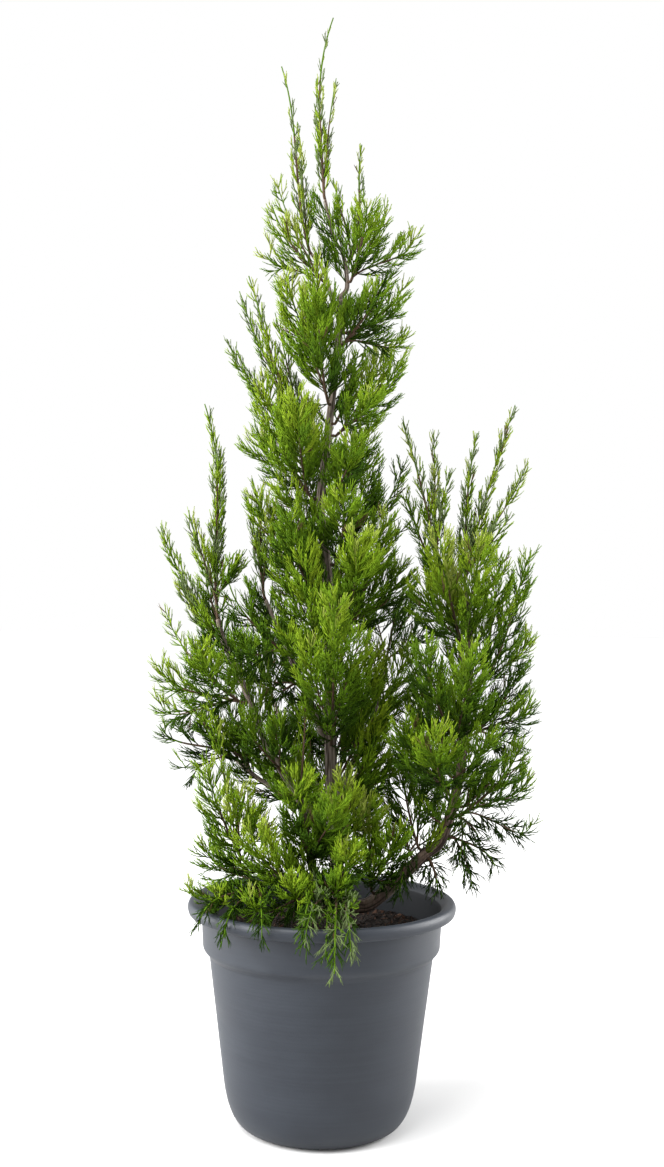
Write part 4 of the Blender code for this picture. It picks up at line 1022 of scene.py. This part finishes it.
def grow_twigs(draws):
    """The twigs: one each pitch up a shoot, turned on by the golden angle. A twig's tip stands at
    out + way * sweep, times the lead's spread and a reach that falls towards the lead's tip. One
    that would leave the lead's space is tried shorter, and then left out."""
    lead, share = [], []
    for number, path in enumerate(FINE):
        run = length_of(path)
        bare = 0.0 if ON_LIMB[number] else min(MOST_BARE, BARE_FOOT / run)
        count = max(LEAST_TWIGS, round(run * (1 - bare) / TWIG_PITCH))
        lead += [number] * count
        places = np.arange(count) + draws.uniform(*TWIG_PLACES, count)
        share.append(bare + (1 - bare) * places / count)
    lead, share = np.array(lead), np.concatenate(share)
    share *= np.where(ON_SPIRE[lead], SPIRE_END, 1.0)
    behind, here, ahead = (np.vstack([along(path, share[lead == number] + step)
                                      for number, path in enumerate(FINE)])
                           for step in (-LOOK_STEP, 0.0, LOOK_STEP))
    way = unit(ahead - behind)
    side = unit(np.cross(way, ACROSS))
    turn = np.arange(len(lead)) * GOLDEN_ANGLE + draws.normal(0, TURN_DRIFT, len(lead))
    out = np.cos(turn)[:, None] * side + np.sin(turn)[:, None] * np.cross(way, side)
    reach = SPREADS[lead] * np.where(ON_LIMB[lead], 1.0, REACH[0] + (REACH[1] - REACH[0]) * share ** 2)
    spire = np.where(ON_CROWN[lead], CROWN_REACH, SPIRE_REACH) * (1 - SPIRE_NARROWING * share ** 2)
    reach *= np.where(ON_SPIRE[lead], spire, np.where(ON_OUTER[lead], OUTER_REACH, 1.0))
    reach *= draws.uniform(*REACH_RANGE, len(lead))
    sweep = draws.uniform(*SWEEP_RANGE, len(lead)) * np.where(ON_SPIRE[lead], SPIRE_SWEEP, 1.0)
    lift = np.where(way[:, 2:] > HANGING, *TWIG_LIFTS)
    step = (out + way * sweep[:, None] + UP * lift) * reach[:, None]
    kept = np.zeros(len(lead))
    for trial in TRIALS:
        rows = np.flatnonzero(kept == 0.0)
        tests = here[rows, None] + step[rows, None] * trial * TESTED
        kept[rows[spaces(tests, lead[rows])]] = trial
    gaps = np.where(ON_THIN | ON_CROWN, THIN_GAPS, np.where(ON_SPIRE, SPIRE_GAPS, 0.0))[lead]
    gaps *= ON_THIN[lead] | (share > GAPS_START)
    grown = (kept > 0) & (draws.random(len(lead)) > gaps)
    here, out, lead, share = here[grown], out[grown], lead[grown], share[grown]
    step = (step * kept[:, None])[grown]
    control = here + step * 0.5 + out * np.linalg.norm(step, axis=1)[:, None] * TWIG_BOW
    return here, control, here + step, out, lead, share


def grow_side(foot, control, tip, across, slim, kind, draws):
    """Twiglets or branchlets, one pitch apart and alternately to either side of their carrier's
    curve. They lean out of its way and curve back along it. Their length is a base and a share of
    what is left of the carrier, and slim carriers have shorter ones at a smaller lean."""
    run = np.linalg.norm(tip - foot, axis=1) * CURVE_LENGTH
    number = np.clip(np.round(run / kind.pitch), 2, kind.most).astype(int)
    parent = np.repeat(np.arange(len(foot)), number)
    place = np.arange(len(parent)) - np.repeat(np.cumsum(number) - number, number)
    place_drift = draws.uniform(-SIDE_PLACE_DRIFT, SIDE_PLACE_DRIFT, len(parent))
    share = (place + SIDE_PLACE_START + place_drift) / (number[parent] + SIDE_PLACES_SPARE)
    base = curve_points(foot[parent], control[parent], tip[parent], share)
    way = unit((1 - share)[:, None] * (control - foot)[parent] + share[:, None] * (tip - control)[parent])
    sign = np.where(place % 2 == 0, 1.0, -1.0)[:, None]
    flat = unit(np.cross(way, across[parent]))
    spin = draws.normal(0.0, SIDE_SPIN, len(parent))[:, None]
    lateral = np.cos(spin) * flat * sign + np.sin(spin) * np.cross(way, flat)
    length = kind.base + kind.share * (1 - share) * run[parent]
    length *= draws.uniform(*SIDE_RANGE, len(parent))
    length = (np.minimum(length, kind.longest) * slim[parent])[:, None]
    lean = (kind.lean * slim[parent])[:, None]
    out = way * np.cos(lean) + lateral * np.sin(lean)
    lift = np.where(way[:, 2:] > HANGING, *SIDE_LIFTS)
    side_tip = base + (out * (1 - SIDE_TURN_BACK) + way * SIDE_TURN_BACK + UP * lift) * length
    return parent, share, base, base + out * length * 0.5, side_tip, lateral


def tint_of(tones):
    """Which tint each spray takes: its tone rounded, held to the greens."""
    return np.clip(np.round(tones), 0, PALE).astype(int)


draws = np.random.default_rng(SEED)
twig = grow_twigs(draws)
slim = np.where(ON_CROWN, CROWN_SLIM, np.where(ON_SPIRE, SPIRE_SLIM, 1.0))[twig[4]]
parent, along_twig, *twiglet = grow_side(*twig[:4], slim, TWIGLETS, draws)
kept = spaces(twiglet[2][:, None], twig[4][parent])
parent, along_twig, *twiglet = (values[kept] for values in (parent, along_twig, *twiglet))
carrier, _, *branchlet = grow_side(*twiglet, slim[parent], BRANCHLETS, draws)

# Tints are dealt out by spray: brighter towards a shoot's tip, greyer on the spires, with a few brown
# sprays near the wood. Painted light brightens the masses that stand in the light and the sprays that
# point up; painted shade darkens the masses that stand in shade, and in part the shoots inside the plant.
tone = np.append(np.array(list(TONES.values()))[LEAD_MASS], np.full(len(LIMB_SPRAYS), LIMB_TONE))
tone += draws.normal(0, LEAD_DRIFT, len(SPREADS))
spray_tone = tone[twig[4]] + TIP_BRIGHTER * (twig[5] - 0.5) * ~ON_LIMB[twig[4]]
spray_tone += draws.normal(0, SPRAY_DRIFT, len(twig[0]))
# Painted light from above: the more a spray points up, the brighter its tint.
spray_tone += TOP_PAINTED_LIGHT * (unit(twig[2] - twig[0])[:, 2] - TOP_EVEN)
brown = (draws.random(len(parent)) < BROWN_SHARE) & (along_twig < BROWN_END)
twig_tint = tint_of(spray_tone)
twiglet_tint = tint_of(spray_tone[parent] + TWIGLET_BRIGHTER * (along_twig - 0.5))
greyer = (ON_SPIRE | on_leads(["rim_sprig", "rim_sprig_fill"]))[twig[4]]
grey = greyer & (draws.random(len(twig[0])) < GREY_SHARE)
twig_tint[grey], twiglet_tint[grey[parent]] = GREY, GREY
twiglet_tint[brown] = BROWN

LEVELS = [(*threads(*twig[:3], TWIG_RADII, 4), twig_tint),
          (*threads(*twiglet[:3], TWIGLET_RADII, 2), twiglet_tint),
          (*wedges(branchlet[0], branchlet[2], BRANCHLET_RADII), twiglet_tint[carrier])]
for number, (name, (slot, colour)) in enumerate(TINTS.items()):
    material = finish(name, 0.6, None, colour, 0.03)
    rows = [np.flatnonzero(tint == number) for _, _, tint in LEVELS]
    face_count = sum(len(row) * len(faces) for row, (_, faces, _) in zip(rows, LEVELS))
    pieces = math.ceil(face_count / MOST_FACES)
    for share in range(pieces):
        parts = [picked(points, faces, row[share::pieces])
                 for row, (points, faces, _) in zip(rows, LEVELS)]
        if name == "mid_green" and share == 0:
            parts += green
        piece = mesh_piece(f"sprays_{name}_{share + 1}", *joined(parts), material)
        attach(piece, "root")
        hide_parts(*MASS_NAMES)

wood = mesh_piece("shoots_wood", *joined(woody), finish("shoot_bark", 0.85, None, SHOOT_BROWN, 0.2))
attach(wood, "root")

# Floor, light and camera
# A plain white floor under soft studio light: a large lamp at the left in front, another at the
# right behind, a weak one low at the left behind, a broad sun high in front, and a white surround.

bpy.ops.mesh.primitive_plane_add(size=30.0, location=(0.0, 0.0, -0.0004))
floor = bpy.context.object
floor.name = "studio_floor"
floor.data.materials.append(finish("floor_white", 0.9, None, (0.52, 0.52, 0.52, 1.0), 0.0))

world = bpy.data.worlds.new("studio")
world.use_nodes = True
world.node_tree.nodes["Background"].inputs["Color"].default_value = (1.0, 1.0, 1.0, 1.0)
world.node_tree.nodes["Background"].inputs["Strength"].default_value = 1.0
bpy.context.scene.world = world
bpy.context.scene.view_settings.view_transform = "Standard"


def lamp(name, kind, place, aim, power, **settings):
    """A lamp at a place, turned to face a point."""
    data = bpy.data.lights.new(name, kind)
    data.energy = power
    for setting, value in settings.items():
        setattr(data, setting, value)
    piece = bpy.data.objects.new(name, data)
    piece.location = place
    piece.rotation_euler = (Vector(aim) - Vector(place)).to_track_quat("-Z", "Y").to_euler()
    bpy.context.scene.collection.objects.link(piece)


lamp("key_lamp", "AREA", (-2.2, -0.8, 1.2), (0.0, 0.0, 0.5), 160.0, size=1.7)
lamp("rim_lamp", "AREA", (-2.0, 0.7, 0.6), (0.0, 0.0, 0.3), 34.0, size=1.4)
lamp("edge_lamp", "AREA", (2.2, 0.5, 1.0), (0.0, 0.0, 0.5), 130.0, size=1.7)
lamp("top_lamp", "SUN", (-0.9, -1.3, 3.0), (0.0, 0.0, 0.0), 3.6, angle=math.radians(30))

CAMERA_PLACE = (0.007, -1.605, 0.6014)
CAMERA_ROLL = 0.0118
LENS = 44.27
camera_data = bpy.data.cameras.new("camera")
camera_data.lens = LENS
camera_data.sensor_width = 36.0
camera_data.clip_end = 100.0
camera = bpy.data.objects.new("camera", camera_data)
camera.matrix_world = (Matrix.Translation(CAMERA_PLACE) @ Matrix.Rotation(math.pi / 2, 4, "X")
                       @ Matrix.Rotation(CAMERA_ROLL, 4, "Z"))
bpy.context.scene.collection.objects.link(camera)
bpy.context.scene.camera = camera
